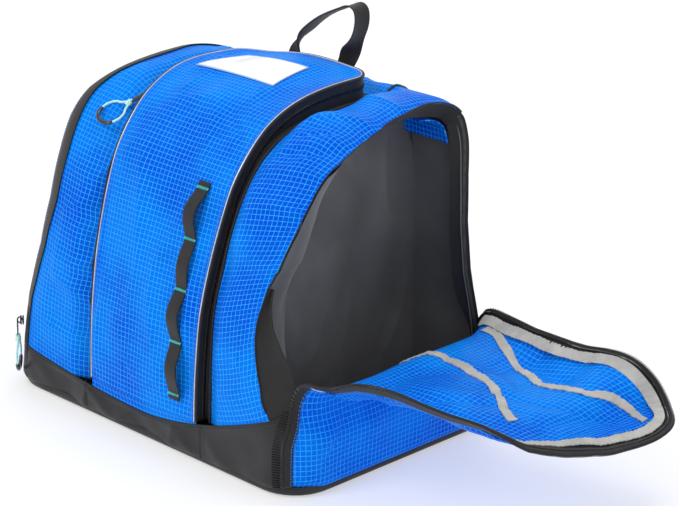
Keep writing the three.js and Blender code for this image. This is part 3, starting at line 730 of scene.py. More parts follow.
def woven(name, light, dark, roughness, rib, fine=0.0009, sheen=0.2, wear=0.35):
    """Webbing and tape: ribs along the length, fine weft across, slightly worn."""
    g = Graph(name, light, roughness, sheen_weight=sheen, sheen_roughness=0.6, specular_ior_level=0.3)
    u, v = g.uv()
    ribs = g.ramp(g.wave(u, rib), -0.7, 0.9)
    weft = g.ramp(g.wave(g.math("ADD", v, g.math("MULTIPLY", ribs, fine / 3)), fine), -0.8, 0.8)
    fibre = g.math("MULTIPLY", ribs, weft)
    worn = g.ramp(g.noise(35, 4, 0.65), 0.35, 0.75, 0.0, wear)
    g.to("Base Color", g.mix(g.math("ADD", g.math("MULTIPLY", fibre, 0.65), worn), dark, light))
    g.bump(fibre, 0.55, 0.0003)
    g.bump(g.noise(120, 2), 0.12, 0.001)
    return g.material


def spacer_mesh():
    g = Graph("mesh_black", (0.02, 0.02, 0.022), 0.7, sheen_weight=0.35, sheen_roughness=0.5)
    holes = g.math("MULTIPLY", *[g.ramp(g.wave(c, 0.0032), -0.2, 0.7) for c in g.uv()])
    g.to("Base Color", g.mix(holes, (0.034, 0.034, 0.037), (0.004, 0.004, 0.005)))
    g.bump(holes, -0.8, 0.0009)
    g.bump(g.noise(40, 3), 0.2, 0.002)
    return g.material


def lining():
    g = Graph("lining_grey", (0.075, 0.075, 0.078), 0.55, sheen_weight=0.3, sheen_roughness=0.45)
    g.mottle((6, 3), 0.35, 0.7, (0.085, 0.085, 0.087), (0.15, 0.15, 0.153))
    g.bump(g.weave(0.0008), 0.25, 0.00015)
    g.bump(g.noise(26, 3, 0.6), 0.3, 0.004)
    return g.material


def hard(name, color, roughness, metallic=0.0, grain=500, depth=0.0002, **settings):
    """Moulded plastic and lacquered metal, with grain and uneven gloss."""
    g = Graph(name, color, roughness, metallic, **settings)
    worn = tuple(min(c * 1.7 + 0.01, 1) for c in color)
    g.to("Base Color", g.mix(g.ramp(g.noise(60, 4, 0.6), 0.45, 0.8, 0.0, 0.6), color, worn))
    g.gloss((90, 3), 0.3, 0.7, roughness * 0.75, roughness * 1.3)
    g.bump(g.noise(grain, 2), 0.25, depth)
    return g.material


def thread(name, color):
    return hard(name, color, 0.5, 0.0, 1200, 0.0003, sheen_weight=0.3)


def braid():
    g = Graph("cord_mint", (0.28, 0.82, 0.74), 0.5, sheen_weight=0.3, sheen_roughness=0.5)
    g.mottle((900, 1), 0.46, 0.54, (0.23, 0.78, 0.7), (0.78, 0.93, 0.9))
    g.bump(g.noise(1100, 1), 0.6, 0.0004)
    return g.material


def film():
    g = Graph("window_clear", (0.83, 0.85, 0.88), 0.22, coat_weight=0.5, coat_roughness=0.12,
              specular_ior_level=0.6)
    g.mottle((20, 3), 0.35, 0.7, (0.78, 0.81, 0.86), (0.88, 0.89, 0.91))
    g.gloss((45, 3), 0.3, 0.7, 0.16, 0.34)
    g.bump(g.noise(14, 2), 0.3, 0.004)
    return g.material


M = {
    # blue ripstop: the first colour is its lit tone, the second a painted shade of it for shadowed folds, the
    # third its lighter grid thread
    "blue": ripstop("ripstop_blue", (0.0, 0.185, 0.86), (0.0, 0.08, 0.7), (0.03, 0.46, 1.0)),
    "tarp": tarpaulin(),
    "webbing": woven("webbing_black", (0.02, 0.02, 0.022), (0.005, 0.005, 0.006), 0.6, 0.0016, sheen=0.1),
    "tape": woven("zip_tape_black", (0.015, 0.015, 0.017), (0.005, 0.005, 0.006), 0.5, 0.0011, 0.0008, 0.08),
    "pale": woven("binding_pale", (0.62, 0.61, 0.58), (0.36, 0.355, 0.335), 0.6, 0.0022, 0.0012, 0.3, 0.5),
    "mesh": spacer_mesh(),
    "lining": lining(),
    "cord": braid(),
    "sleeve": hard("sleeve_black", (0.012, 0.012, 0.014), 0.18, 0.0, 300, 0.0001, coat_weight=0.6,
                   coat_roughness=0.1),
    "coil": hard("coil_black", (0.016, 0.016, 0.018), 0.3, 0.0, 700, 0.0001, coat_weight=0.2,
                 coat_roughness=0.25),
    "metal": hard("slider_metal", (0.045, 0.045, 0.05), 0.32, 0.75, 800, 0.0001),
    "plastic": hard("plastic_black", (0.018, 0.018, 0.02), 0.42, 0.0, 600, 0.0002),
    "piping": hard("piping_silver", (0.62, 0.63, 0.65), 0.3, 0.25, 500, 0.0002),
    "teal": thread("thread_teal", (0.06, 0.66, 0.68)),
    "blue_thread": thread("thread_blue", (0.01, 0.22, 0.85)),
    "dark_thread": thread("thread_black", (0.03, 0.03, 0.032)),
    "film": film(),
}


# ---- camera, lights and floor ----
STAGE_MIDDLE = Vector((0.1, 0, 0.15))


def aimed(piece, place, direction):
    piece.location = place
    piece.rotation_mode = "QUATERNION"
    piece.rotation_quaternion = direction.to_track_quat("-Z", "Y")


def set_camera():
    """Looks at the bag's right front corner from a little above, as a 132 mm lens does from three metres."""
    azimuth, elevation, distance = math.radians(45.7), math.radians(20.0), 2.941
    target = Vector((0.160, 0.0, 0.235))
    level = math.cos(elevation)
    back = Vector((math.sin(azimuth) * level, -math.cos(azimuth) * level, math.sin(elevation)))
    data = bpy.data.cameras.new("camera")
    data.lens, data.sensor_width = 132.5, 36
    camera = link_object("camera", data)
    aimed(camera, target + back * distance, -back)
    bpy.context.scene.camera = camera


def set_stage():
    world = bpy.data.worlds.new("studio")
    world.use_nodes = True
    light = world.node_tree.nodes["Background"].inputs
    light["Color"].default_value = (1, 1, 1, 1)
    light["Strength"].default_value = 0.68
    bpy.context.scene.world = world
    bpy.context.scene.view_settings.view_transform = "Standard"
    for name, place, size, power in (("key", (-0.4, -2.2, 2.3), 1.2, 27), ("fill", (2.6, -0.8, 1.2), 1.5, 6),
                                     ("top", (0.4, 0.6, 2.6), 1.2, 16), ("rear", (-1.6, 2.0, 1.6), 1.5, 5)):
        data = bpy.data.lights.new(name, "AREA")
        data.size, data.energy = size, power
        aimed(link_object(name, data), place, STAGE_MIDDLE - Vector(place))
    bpy.ops.mesh.primitive_plane_add(size=40, location=(0, 0, -0.0005))
    floor = bpy.context.object
    floor.name = "floor"
    g = Graph("floor_pale", (0.55, 0.55, 0.55), 0.6, emission_color=(1, 1, 1, 1), emission_strength=0.5)
    g.gloss((3, 2), 0.3, 0.7, 0.55, 0.7)
    floor.data.materials.append(g.material)


set_camera()
set_stage()


# ---- base ----
SEAMS_X = (-106, 106)
BASE_FOLDS = [((-108, -170, 40), (-60, -172, 6), 9, 2.6), ((-30, -172, 34), (10, -172, 8), 12, -2.2),
              ((108, -170, 40), (150, -170, 10), 10, 2.4), ((120, -170, 50), (200, -168, 60), 12, -2.0),
              ((-220, -165, 50), (-170, -170, 12), 10, 2.0), ((60, -172, 30), (96, -172, 6), 8, 1.8)]
# the underside's rings from the middle out, over the rim and back in above, as (how far out, height)
FLOOR_RINGS = [(-90, 1.4), (-40, 1.2), (-14, 0.9), (-7, 0.8), (-3, 0.9), (-0.5, 2.2), (0.9, 5.0), (0.9, 9.0),
               (-0.2, 12.0), (-1.2, 12.4), (-2.2, 11.0), (-2.4, 6.0), (-14, 4.2), (-40, 4.1), (-90, 4.0)]


def floor_ring(out, height):
    """The bag's outline near its foot, moved out, at a height."""
    hw, r = table(HALF_WIDTHS, 8.0), table(EDGE_RADII, 8.0)
    front, back = (profile_at(v(8.0))[0] for v in (front_v, back_v))
    corners = [(hw - r, front + r, -90), (hw - r, back - r, 0),
               (-hw + r, back - r, 90), (-hw + r, front + r, 180)]
    points = []
    for x, y, start in corners:
        a = np.radians(start + np.linspace(0, 90, 14))
        points.append(stack(x + (r + out) * np.cos(a), y + (r + out) * np.sin(a), height))
    return np.vstack(points)


def make_base():
    front_edge = (-edge_across(front_v(50), -1), edge_across(front_v(70), 1))
    u, w = uw(26, 150)
    s = mix(*front_edge, w)
    p = shell(mix(0.0, front_v(base_top(s)), u), s)
    relief = 1.1 * waves(p, 90, 3) + 1.6 * creases(p, 150, 8, (1, 1, 0.8)) * inside(u, w, 0.2)
    relief = folded(relief, p, BASE_FOLDS) * smooth(u / 0.15) * smooth((1 - u) / 0.2) + 0.6
    for seam in SEAMS_X:
        relief = relief - 1.5 * np.exp(-((p[..., 0] - seam) / 1.6) ** 2)
    Shape().sheet(p, relief=relief).piece("base_front", "tarp", "base_front_wall")

    u, w = uw(16, 100)
    v = mix(1.0, back_v(BACK_BOTTOM_Z), u)
    p = shell(v, mix(-1, 1, w) * edge_across(v, 1))
    relief = (1.2 * waves(p, 110, 5) + 1.2 * creases(p, 170, 6)) * inside(u, w, 0.2) + 0.4
    Shape().sheet(p, relief=relief).piece("base_back", "tarp", "base_back_wall")

    coarse = [resample(floor_ring(*ring), 8, closed=True)[:180] for ring in FLOOR_RINGS]
    n = min(len(r) for r in coarse)
    fine = [resample(r, 1, closed=True) for r in coarse]
    rings = np.stack([r[np.linspace(0, len(r) - 1, n).astype(int)] for r in fine])
    points = np.vstack([rings.reshape(-1, 3), [[0, 0, 1.5], [0, 0, 4.0]]])
    j = np.arange(n)
    middle = len(points) - 2
    quads = np.vstack([grid_quads(len(rings), n, wrap=True), fan(j, middle, back=True),
                       fan(middle - n + j, middle + 1)])
    Shape().put(points, quads, points[:, :2] * MM).piece("base_bottom", "tarp", "base_floor")

    s = np.linspace(*front_edge, 160)
    Shape().tube(shell(front_v(base_top(s)), s, 0.5), 1.3, up=(0, -1, 0)).piece("base_top_binding", "tape")

    rows = Shape()
    for seam in SEAMS_X:
        v = np.linspace(front_v(8), front_v(base_top(seam) - 2), 30)
        for beside in (-3.2, 3.2):
            rows.stitches(*on_shell(v, np.full(30, seam + beside), 1.5))
    s = np.linspace(-228, 226, 160)
    rows.stitches(*on_shell(front_v(base_top(s) - 4), s, 1.2)).piece("base_stitches", "dark_thread")


# ---- blue strips each side of the lid ----
STRIP_FOLDS = {
    "right": [((150, -95, 365), (222, -45, 385), 8, -4.2), ((128, -60, 385), (205, -20, 398), 7, -3.6),
              ((118, -30, 396), (190, 10, 402), 9, 3.2), ((135, -100, 355), (215, -85, 360), 7, 3.2),
              ((120, -150, 240), (190, -140, 260), 14, -2.6), ((115, -168, 120), (150, -160, 190), 12, 3.0),
              ((125, -165, 150), (175, -150, 215), 9, -2.8), ((120, -120, 320), (200, -110, 330), 10, 2.4),
              ((140, -70, 388), (205, -30, 398), 3.2, -4.6), ((165, -90, 376), (212, -60, 385), 3.0, -4.2),
              ((135, -40, 397), (190, 0, 402), 3.6, 4.2), ((125, -95, 366), (180, -70, 382), 4, -3.6)],
    "left": [((-120, -120, 330), (-220, -85, 350), 10, -3.4), ((-120, -135, 290), (-215, -115, 300), 9, 3.0),
             ((-115, -150, 240), (-215, -130, 245), 11, -3.0),
             ((-115, -165, 160), (-220, -150, 150), 12, 2.8),
             ((-120, -168, 100), (-225, -160, 110), 11, -2.8), ((-115, -70, 382), (-200, -30, 395), 8, 2.4)]}
PULL_REST = (-150, -75, 365)  # where the front pull lies on the left strip
STRIP_TAPE = {"right": 0.035, "left": 0.065}  # width of the tape along a strip's edge, as a share of it


def strip_surface(name, u, w, lift=0.0):
    """A strip beside the lid: u from the base up and over, w from the lid's gap to the side's zip line."""
    side = SIDES[name]
    start = front_v(base_top(side * mix(100, strip_across(front_v(96), side), w)) + 0.5)
    v = mix(start, BACK_TOP_V, u)
    first = lid_half(profile_at(v)[1]) + STRIP_GAP
    s = mix(first, strip_across(v, side) - 0.3, w)
    seam = 1 - smooth(2 * (v - LID_BACK_V) / (BACK_TOP_V - LID_BACK_V))
    p = shell(v, side * s, -STRIP_RECESS * (1 - smooth((s - first) / RECESS_WIDTH)) * seam)
    flat_edge = smooth((1 - w) / 0.16 - 1.8) if side < 0 else smooth((1 - w) / 0.05)
    crown = 4.0 * np.sin(math.pi * np.clip(w, 0, 1)) ** 0.8
    relief = crown * smooth(u / 0.08) * smooth((1 - u) / 0.15) * flat_edge
    soft = 2.2 * waves(p, 120, 21 + side, (1.6, 1, 1)) + 2.3 * creases(p, 130, 31 + side, (1.8, 0.8, 0.8))
    soft = folded(soft, p, STRIP_FOLDS[name])
    pressed = np.exp(-(np.linalg.norm(p - PULL_REST, axis=-1) / 42) ** 2)
    relief = (relief + soft * inside(u, w, 0.1) * flat_edge) * (1 - pressed) - 1.6 * pressed
    return p + shell_n(v, side * s) * (relief + lift)[..., None]


def make_strips():
    for name, wide in STRIP_TAPE.items():
        Shape().sheet(strip_surface(name, *uw(190, 50))).piece(f"strip_{name}", "blue", f"front_panel_{name}")
        u, w = uw(240, 6)
        tape = Shape().sheet(strip_surface(name, u, mix(-0.004, wide, w)), top=1.5, bottom=0.1)
        tape.piece(f"strip_tape_{name}", "tape")
        rows = Shape()
        along = np.linspace(0, 1, 400)
        for over in (0.012, wide - 0.012):
            low, high = (strip_surface(name, along, np.full(400, over), lift) for lift in (1.7, 2.7))
            rows.stitches(low, unit(high - low))
        rows.piece(f"strip_stitches_{name}", "dark_thread")
    u, w = uw(14, 80)
    half = lid_half(50) - 1.5
    x = mix(-half, half, w)
    p = shell(mix(front_v(base_top(x)), front_v(57), u), x, 0.3 + 4.0 * smooth(u) * (1 - (x / half) ** 4))
    Shape().sheet(p).piece("lid_apron", "blue")
    u, w = uw(30, 70)
    v = mix(LID_BACK_V, BACK_TOP_V, u)
    half = lid_half(profile_at(v)[1]) + STRIP_GAP
    p = shell(v, mix(-half, half, w), -STRIP_RECESS * (1 - smooth(u * 2)))
    relief = (1.2 * waves(p, 70, 44) + 1.0 * creases(p, 90, 45)) * inside(u, w, 0.15)
    Shape().sheet(p, relief=relief).piece("yoke", "blue", "top_yoke")


# ---- front lid, gusset, window and daisy chain ----
LID_FOLDS = [((30, -155, 220), (92, -100, 350), 6, -5.4), ((0, -150, 240), (75, -80, 380), 6, 5.0),
             ((86, -140, 250), (60, -160, 160), 5, -4.0), ((92, -90, 372), (40, -60, 398), 4, -3.8),
             ((-30, -160, 200), (40, -60, 395), 7, -5.0), ((-85, -165, 170), (-75, -110, 340), 9, 2.6),
             ((-50, -165, 190), (-10, -80, 380), 10, 2.4), ((50, -60, 396), (95, 20, 418), 8, -2.2),
             ((-60, -170, 90), (-20, -160, 190), 14, 2.4), ((20, -172, 80), (40, -160, 180), 12, -2.4)]
ZIP_DEPTH = 12.5              # how far under the lid's edge its zip runs
WINDOW_FRONT = (-80, 57)
WINDOW_BACK = (-59, 48)
WINDOW_Y = (-8, 58)
DAISY_X = 64
DAISY_MARKS = (79, 143, 205, 263, 320)
DAISY_WIDTH = 19
DAISY_BULGE = 9.5


def window_x(k):
    """x of the window's two sides, k from 0 at its front to 1 at its back."""
    return [mix(front, back, k) for front, back in zip(WINDOW_FRONT, WINDOW_BACK)]


def window_shade(p):
    """1 under the window, which is flat."""
    (y0, y1), edge = WINDOW_Y, 12
    x, y = p[..., 0], p[..., 1]
    a, b = window_x(np.clip((y - y0) / (y1 - y0), 0, 1))
    return (smooth((x - a + edge) / edge) * smooth((b - x + edge) / edge)
            * smooth((y - y0 + edge) / edge) * smooth((y1 - y + edge) / edge))


def frame_band(rim, out):
    """The frame's half of the gusset: down from the zip, then out to the strips' recessed edge."""
    side = rim + out * (STRIP_GAP + 2.5)
    y, z, _, _ = lid_at(side[:, 0])
    past = np.maximum(side[:, 0] - 1, 0) * LID_LENGTH
    near = from_profile(y, z).argmin(-1) / STEPS
    v = np.where(past > 0, top_v(np.minimum(y + past, 140)), near)
    flange = shell(v, side[:, 1], -STRIP_RECESS - 0.9)
    foot = lid_point(*rim.T)
    down = unit(lid_point(*rim.T, 10) - foot)
    depth = np.maximum(np.sum((flange - foot) * down, axis=1), 15.0)
    rows = [lid_point(*rim.T, mix(12.8, depth - 1.5, k)) for k in np.linspace(0, 1, 5)]
    corner = lid_point(*rim.T, depth)
    rows += [mix(corner, flange, k) for k in (0.15, 0.4, 0.7, 1.0)]
    outer = np.stack(rows, axis=1)
    return Shape().slab(outer, outer - normals(outer, np.array([0, -20, 200.0])) * 1.4)


def make_lid():
    lid = "front_lid_body"
    u, w = uw(190, 74)
    t = np.minimum(u, 0.9995)
    p = lid_point(t, mix(-1, 1, w) * lid_edge(t))
    soft = 2.2 * waves(p, 150, 51, (0.7, 1.6, 1.6)) + 2.4 * creases(p, 150, 57, (0.7, 1.8, 1.8))
    relief = folded(soft, p, LID_FOLDS) * inside(u, w, 0.07) * (1 - 0.9 * window_shade(p))
    Shape().sheet(p, relief=relief).piece("lid_fabric", "blue", "front_lid", body=lid)

    rim = lid_rim()
    out = rim_out(rim)
    grids = [np.stack([lid_point(*r.T, mix(2.0, 12.2, k)) for k in np.linspace(0, 1, 5)], axis=1)
             for r in (rim, rim - out * FABRIC)]
    Shape().slab(*grids).piece("lid_gusset_tape", "tape", "lid_gusset", body=lid)
    frame_band(rim, out).piece("frame_gusset_tape", "tape", "gusset_frame")
    teeth = lid_point(rim[:, 0], rim[:, 1] + out[:, 1] * 0.3, ZIP_DEPTH)
    face = unit(lid_point(*(rim + out).T) - lid_point(*rim.T))
    Shape().teeth(teeth, face, 5.2, 0.9, along=1.3, square=False).piece("lid_zip_coil", "coil")

    up = (0, 0.3, 1)
    piping = resample(lid_point(*(rim - out * 2.0).T, -0.35), 4)
    Shape().tube(piping, 0.75, up=up).piece("lid_piping", "piping", body=lid)
    edge = resample(lid_point(*rim.T, 0.9), 4)
    Shape().tube(edge, 1.9, 10, up=up).piece("lid_edge_binding", "tape", body=lid)
    rows = Shape()
    for inset in (5.0, 8.0):
        r = (rim - out * inset).T
        rows.stitches(lid_point(*r, -0.5), unit(lid_point(*r, -1.5) - lid_point(*r)))
    rows.piece("lid_stitches", "blue_thread", body=lid)

    u, w = uw(24, 30)
    t = np.interp(mix(*WINDOW_Y, u), LID[60:, 0], np.arange(60, LID_STEPS + 1) / LID_STEPS)
    p = lid_point(t, mix(*window_x(u), w))
    sag = -1.2 * np.sin(math.pi * u) * np.sin(math.pi * w) + 0.5 * waves(p, 70, 61) * inside(u, w, 0.2)
    Shape().sheet(p, top=1.3, bottom=0.4, relief=sag + 0.5).piece("window", "film", "id_window", body=lid)
    ring = np.vstack([p[0], p[:, -1], p[-1, ::-1], p[::-1, 0]])
    up = unit(np.array([[0, -0.05, 1.0]])).repeat(len(ring), axis=0)
    Shape().stitches(ring + up * 1.9, up, width=0.9).piece("window_stitches", "blue_thread", body=lid)


def make_daisy_chain():
    steps, under = 16, -1.8
    i = np.arange(steps) / steps
    path = [lid_point(lid_t(np.array([DAISY_MARKS[0] - 7.0])), np.array([DAISY_X]), under)]
    for m, (low, high) in enumerate(zip(DAISY_MARKS, DAISY_MARKS[1:])):
        rise = DAISY_BULGE * np.sin(math.pi * i) ** 1.4 * (0.85 + 0.15 * math.cos(2.1 * m))
        x = np.full(steps, DAISY_X) + 2.6 * np.sin(math.pi * i) * (-1) ** m
        path.append(lid_point(lid_t(mix(low, high, i)), x, -(rise + 1.8)))
    last = DAISY_MARKS[-1]
    path.append(lid_point(lid_t(np.array([last, last + 7])), np.full(2, DAISY_X), under))
    path = np.vstack(path)
    x = np.array([1.0, 0, 0])
    face = unit(np.cross(x, unit(np.gradient(path, axis=0))))
    face = face * -np.sign(np.sum(face * [0, 1, 0], axis=1, keepdims=True))
    cols = np.linspace(-0.5, 0.5, 9)
    over = path[:, None] + cols[None, :, None] * x * DAISY_WIDTH
    crown = (1 - (cols * 2) ** 4)[None, :, None] * 0.35
    strap = Shape().slab(over + face[:, None] * (0.8 + crown), over - face[:, None] * 0.8)
    strap.piece("daisy_chain", "webbing", "daisy_chain_webbing", body="front_lid_body")
    tacks = Shape()
    count = 26
    xs = DAISY_X + np.linspace(-0.5, 0.5, count) * (DAISY_WIDTH - 1.0)
    for z in DAISY_MARKS:
        t = lid_t(z + 1.3 * np.where(np.arange(count) % 2, 1, -1))
        n = unit(lid_point(t, xs, -4) - lid_point(t, xs, -3))
        tacks.tube(lid_point(t, xs, -3.1) + n * 0.2, 0.65, 6, up=tuple(n[0]))
    tacks.piece("daisy_bartacks", "teal", body="front_lid_body")


make_base()
make_strips()
make_lid()
make_daisy_chain()


# ---- sides: lower wall, flap, zip tapes ----
EDGE_INSET = 7                # a side's fabric stops this far short of the zip line, under the tape
ZIP_INSIDE = 10.5             # where the binding starts, past the zip line
CUT_VS = (front_v(CUT_Z - 4), back_v(CUT_Z + 4))
COIL_WIDTH = 5.0
# folds of the closed side, as (y, z) of both ends, width and height
SIDE_FOLDS = {
    "right": [((-148, 10), (-62, 122), 2.0, -1.8), ((-160, 40), (-90, 90), 10, 1.8),
              ((60, 150), (20, 300), 13, -7.0), ((-60, 170), (-90, 330), 15, 5.5),
              ((110, 200), (90, 350), 11, 6.0), ((0, 340), (100, 370), 8, 4.5),
              ((-20, 200), (30, 330), 7, 3.5)],
    "left": [((-148, 10), (-62, 122), 2.0, -1.5), ((-100, 160), (40, 320), 14, 2.5),
             ((100, 180), (40, 360), 14, -2.5)],
}


def side_lift(name, y, z):
    """How far a side's soft folds stand off its plain shape at (y, z) of the closed side."""
    side = SIDES[name]
    y, z = np.asarray(y, float), np.asarray(z, float)
    p = stack(side * side_x(y, z), y, z)
    seed = 70 if name == "right" else 80
    front, back = edge_y(z, side, False), edge_y(z, side, True)
    w = np.arccos(np.clip(1 - 2 * (y - front) / (back - front), -1, 1)) / math.pi
    edge = smooth(w / 0.22) * smooth((1 - w) / 0.22) * smooth((z - 8) / 20) * smooth((FLAP_TOP_Z - z) / 12)
    loose = smooth((z - 118) / 50) * smooth((FLAP_TOP_Z - z) / 50)
    tight = 1.0 * waves(p, 110, seed) + 0.8 * creases(p, 150, seed + 1)
    soft = 3.6 * waves(p, 150, seed + 2, (1, 1, 0.8)) + 2.4 * creases(p, 160, seed + 3, (1, 0.8, 1.2))
    lift = tight + (soft if name == "right" else 0.45 * soft) * loose
    return folded(lift, stack(y, z), SIDE_FOLDS[name]) * edge


def side_surface(name, y, z, lift=0.0):
    """Points over a side's fabric at (y, z) of the closed side."""
    side = SIDES[name]
    y, z = np.asarray(y, float), np.asarray(z, float)

    def plain(dy, dz):
        return stack(side * side_x(y + dy, z + dz), y + dy, z + dz)
    n = unit(np.cross(plain(2, 0) - plain(-2, 0), plain(0, 2) - plain(0, -2))) * side
    return plain(0, 0) + n * (side_lift(name, y, z) + lift)[..., None]


def side_panel(name, z0, z1, rows, crowd=False):
    """Part of a side's fabric between two heights; crowd puts its rows closer together towards the top."""
    side = SIDES[name]
    u, w = uw(rows, 90)
    z = mix(z0, z1, np.sin(math.pi / 2 * u) if crowd else u)
    front, back = edge_y(z, side, False) + EDGE_INSET, edge_y(z, side, True) - EDGE_INSET
    y = mix(front, back, (1 - np.cos(math.pi * w)) / 2)
    return Shape().sheet(stack(side * side_x(y, z), y, z), relief=side_lift(name, y, z))


def make_side(name):
    low = side_panel(name, 9, CUT_Z, 110)
    up = side_panel(name, CUT_Z, FLAP_TOP_Z - 7, 100, crowd=True)
    flap_pair(low, up, "side", "blue", name, (f"lower_side_{name}", f"flap_{name}"), (f"flap_top_{name}",))


def make_crown(name):
    """The strip of a side's fabric between its top edge and the zip line."""
    side = SIDES[name]
    u, w = uw(160, 8)
    v = mix(front_v(FLAP_TOP_Z - 16), back_v(FLAP_TOP_Z - 16), u)
    steps = np.arange(0, 60, 1.5)
    z = shell(v[:, :1], side * (edge_across(v[:, 0], side)[:, None] + steps))[..., 2]
    reach = steps[np.argmax(z < FLAP_TOP_Z - 9, axis=1)][:, None]
    p = shell(v, side * (edge_across(v, side) + mix(6.0, np.maximum(reach, 7.0), w)), -0.3)
    flap_piece(Shape().sheet(p), "up", f"side_crown_{name}", "blue", name)


def tape_points(side, v0, v1, near, far, rows):
    u, w = uw(rows, 6)
    v = mix(v0, v1, u)
    return shell(v, side * (edge_across(v, side) + mix(near, far, w)))


def body_tape(side):
    """The body's half of a side zip: flat on the closed side, turned in along the open one."""
    u, w = uw(420, 8)
    v = mix(front_v(98 if side > 0 else 10), back_v(10), u)
    s = strip_across(v, side)
    line, n = on_shell(v, side * (s - 0.6), 0.4)
    y, z = line[..., 1], line[..., 2]
    rear = smooth((y - 60) / 60) * smooth((z - 110) / 60)
    ahead = 1 - smooth((y - 20) / 80)
    if side < 0:
        over = w * (mix(ZIP_WIDTH - 0.6, 23.0, rear) + 3.0 * smooth((z - 70) / 90) * ahead
                    + 6.0 * smooth((z - 150) / 200) * ahead)
        return on_shell(v, side * (s - 0.6 - over), 1.5)[0]
    front = smooth((z - 100) / 40) * (1 - smooth((y + 40) / 120))
    over = w * mix(mix(ZIP_WIDTH - 0.6, 5.0, front), 23.0, rear)
    turn = np.radians(84) * smooth((z - 70) / 26)
    inward = unit(shell(v, side * (s - 3)) + n * 0.4 - line)
    step = inward * np.cos(turn)[..., None] - n * np.sin(turn)[..., None]
    return line + step * over[..., None] + n * (1.2 * np.cos(turn))[..., None]


def make_zips(name):
    side = SIDES[name]
    tape = Shape().sheet(body_tape(side), top=0.5, bottom=-0.5)
    tape.piece(f"body_tape_{name}", "tape", f"body_zip_tape_{name}")

    low, up = Shape(), Shape()
    for shape, v0, v1, rows in ((low, front_v(10), CUT_VS[0], 150), (low, CUT_VS[1], back_v(10), 150),
                                (up, *CUT_VS, 300)):
        shape.sheet(tape_points(side, v0, v1, 0.2, ZIP_WIDTH, rows), top=0.9, bottom=-FABRIC - 0.8)
    flap_pair(low, up, "flap_tape", "tape", name, (f"flap_zip_front_{name}", f"flap_zip_rear_{name}"),
              (f"flap_zip_top_{name}",))

    low, up = Shape(), Shape()
    for shape, v0, v1 in ((low, front_v(11), CUT_VS[0]), (low, CUT_VS[1], back_v(11)), (up, *CUT_VS)):
        v = np.linspace(v0, v1, 600)
        shape.teeth(*on_shell(v, side * (edge_across(v, side) + COIL_WIDTH / 2 - 1.8), 0.9), COIL_WIDTH, 1.0)
    flap_pair(low, up, "flap_coil", "coil", name)

    low, up = Shape(), Shape()
    for past, lift in ((ZIP_WIDTH - 1.5, 1.0), (ZIP_WIDTH + 2.5, 0.2)):
        for shape, v0, v1 in ((low, front_v(14), CUT_VS[0]), (low, CUT_VS[1], back_v(14)), (up, *CUT_VS)):
            v = np.linspace(v0, v1, 260)
            shape.stitches(*on_shell(v, side * (edge_across(v, side) + past), lift), pitch=3.6)
    flap_pair(low, up, "flap_stitches", "blue_thread", name)


for side_name in SIDES:
    make_side(side_name)
    make_crown(side_name)
    make_zips(side_name)


# ---- inside of a flap: binding round its edge and the tapes over its seams ----
MIDDLE_SEAM = [(2, 121), (22, 122), (36, 132), (41, 150), (39, 178), (27, 218), (5, 264), (-22, 302),
               (-30, 320)]
REAR_SEAM = [(136, 130), (133, 150), (116, 176), (100, 204), (86, 236), (74, 268), (72, 296), (82, 322),
             (100, 338), (112, 352), (124, 368), (127, 382)]
SEAM_WIDTH = 11
BINDING_WIDTH = 15


def ruched(shape, centre, across, face, width, seed, pitch=9.0):
    """A gathered tape along a path: its edges wander and it ripples across its length."""
    run = run_along(centre)
    shift = np.random.RandomState(seed).uniform(0, 6, 5)
    wander = sum(np.sin(run / (7 + 5 * k) + shift[k]) for k in range(4)) / 4
    half = width / 2 * (1 + 0.12 * wander)
    cols = np.linspace(-1, 1, 7)
    grid = centre[:, None] + across[:, None] * (cols[None, :] * half[:, None])[..., None]
    edges = (cols ** 2)[None, :]
    ripple = (0.45 * np.sin(run / pitch * 2 * math.pi + 1.5 * wander)[:, None] * (0.3 + 0.7 * edges)
              + 0.35 * np.sin(run / 3.1 + shift[4])[:, None] * edges)
    grid = grid + face[:, None] * ripple[..., None]
    shape.slab(grid + face[:, None] * 0.9, grid - face[:, None] * 0.5)


def seam_tape(name, points):
    """The middle, width direction and face of a seam tape, below and above where the side is sewn across."""
    path, _ = spaced(points, 170)
    t = unit(np.gradient(path, axis=0))
    y, z = path.T
    under = -FABRIC - 0.9
    centre = side_surface(name, y, z, under)
    across = unit(side_surface(name, y - t[:, 1] * 2, z + t[:, 0] * 2, under) - centre)
    face = unit(side_surface(name, y, z, under - 2) - centre)
    first = int(np.argmax(z > CUT_Z))
    return [(centre[a:b], across[a:b], face[a:b]) for a, b in ((0, first + 1), (first, len(z)))]


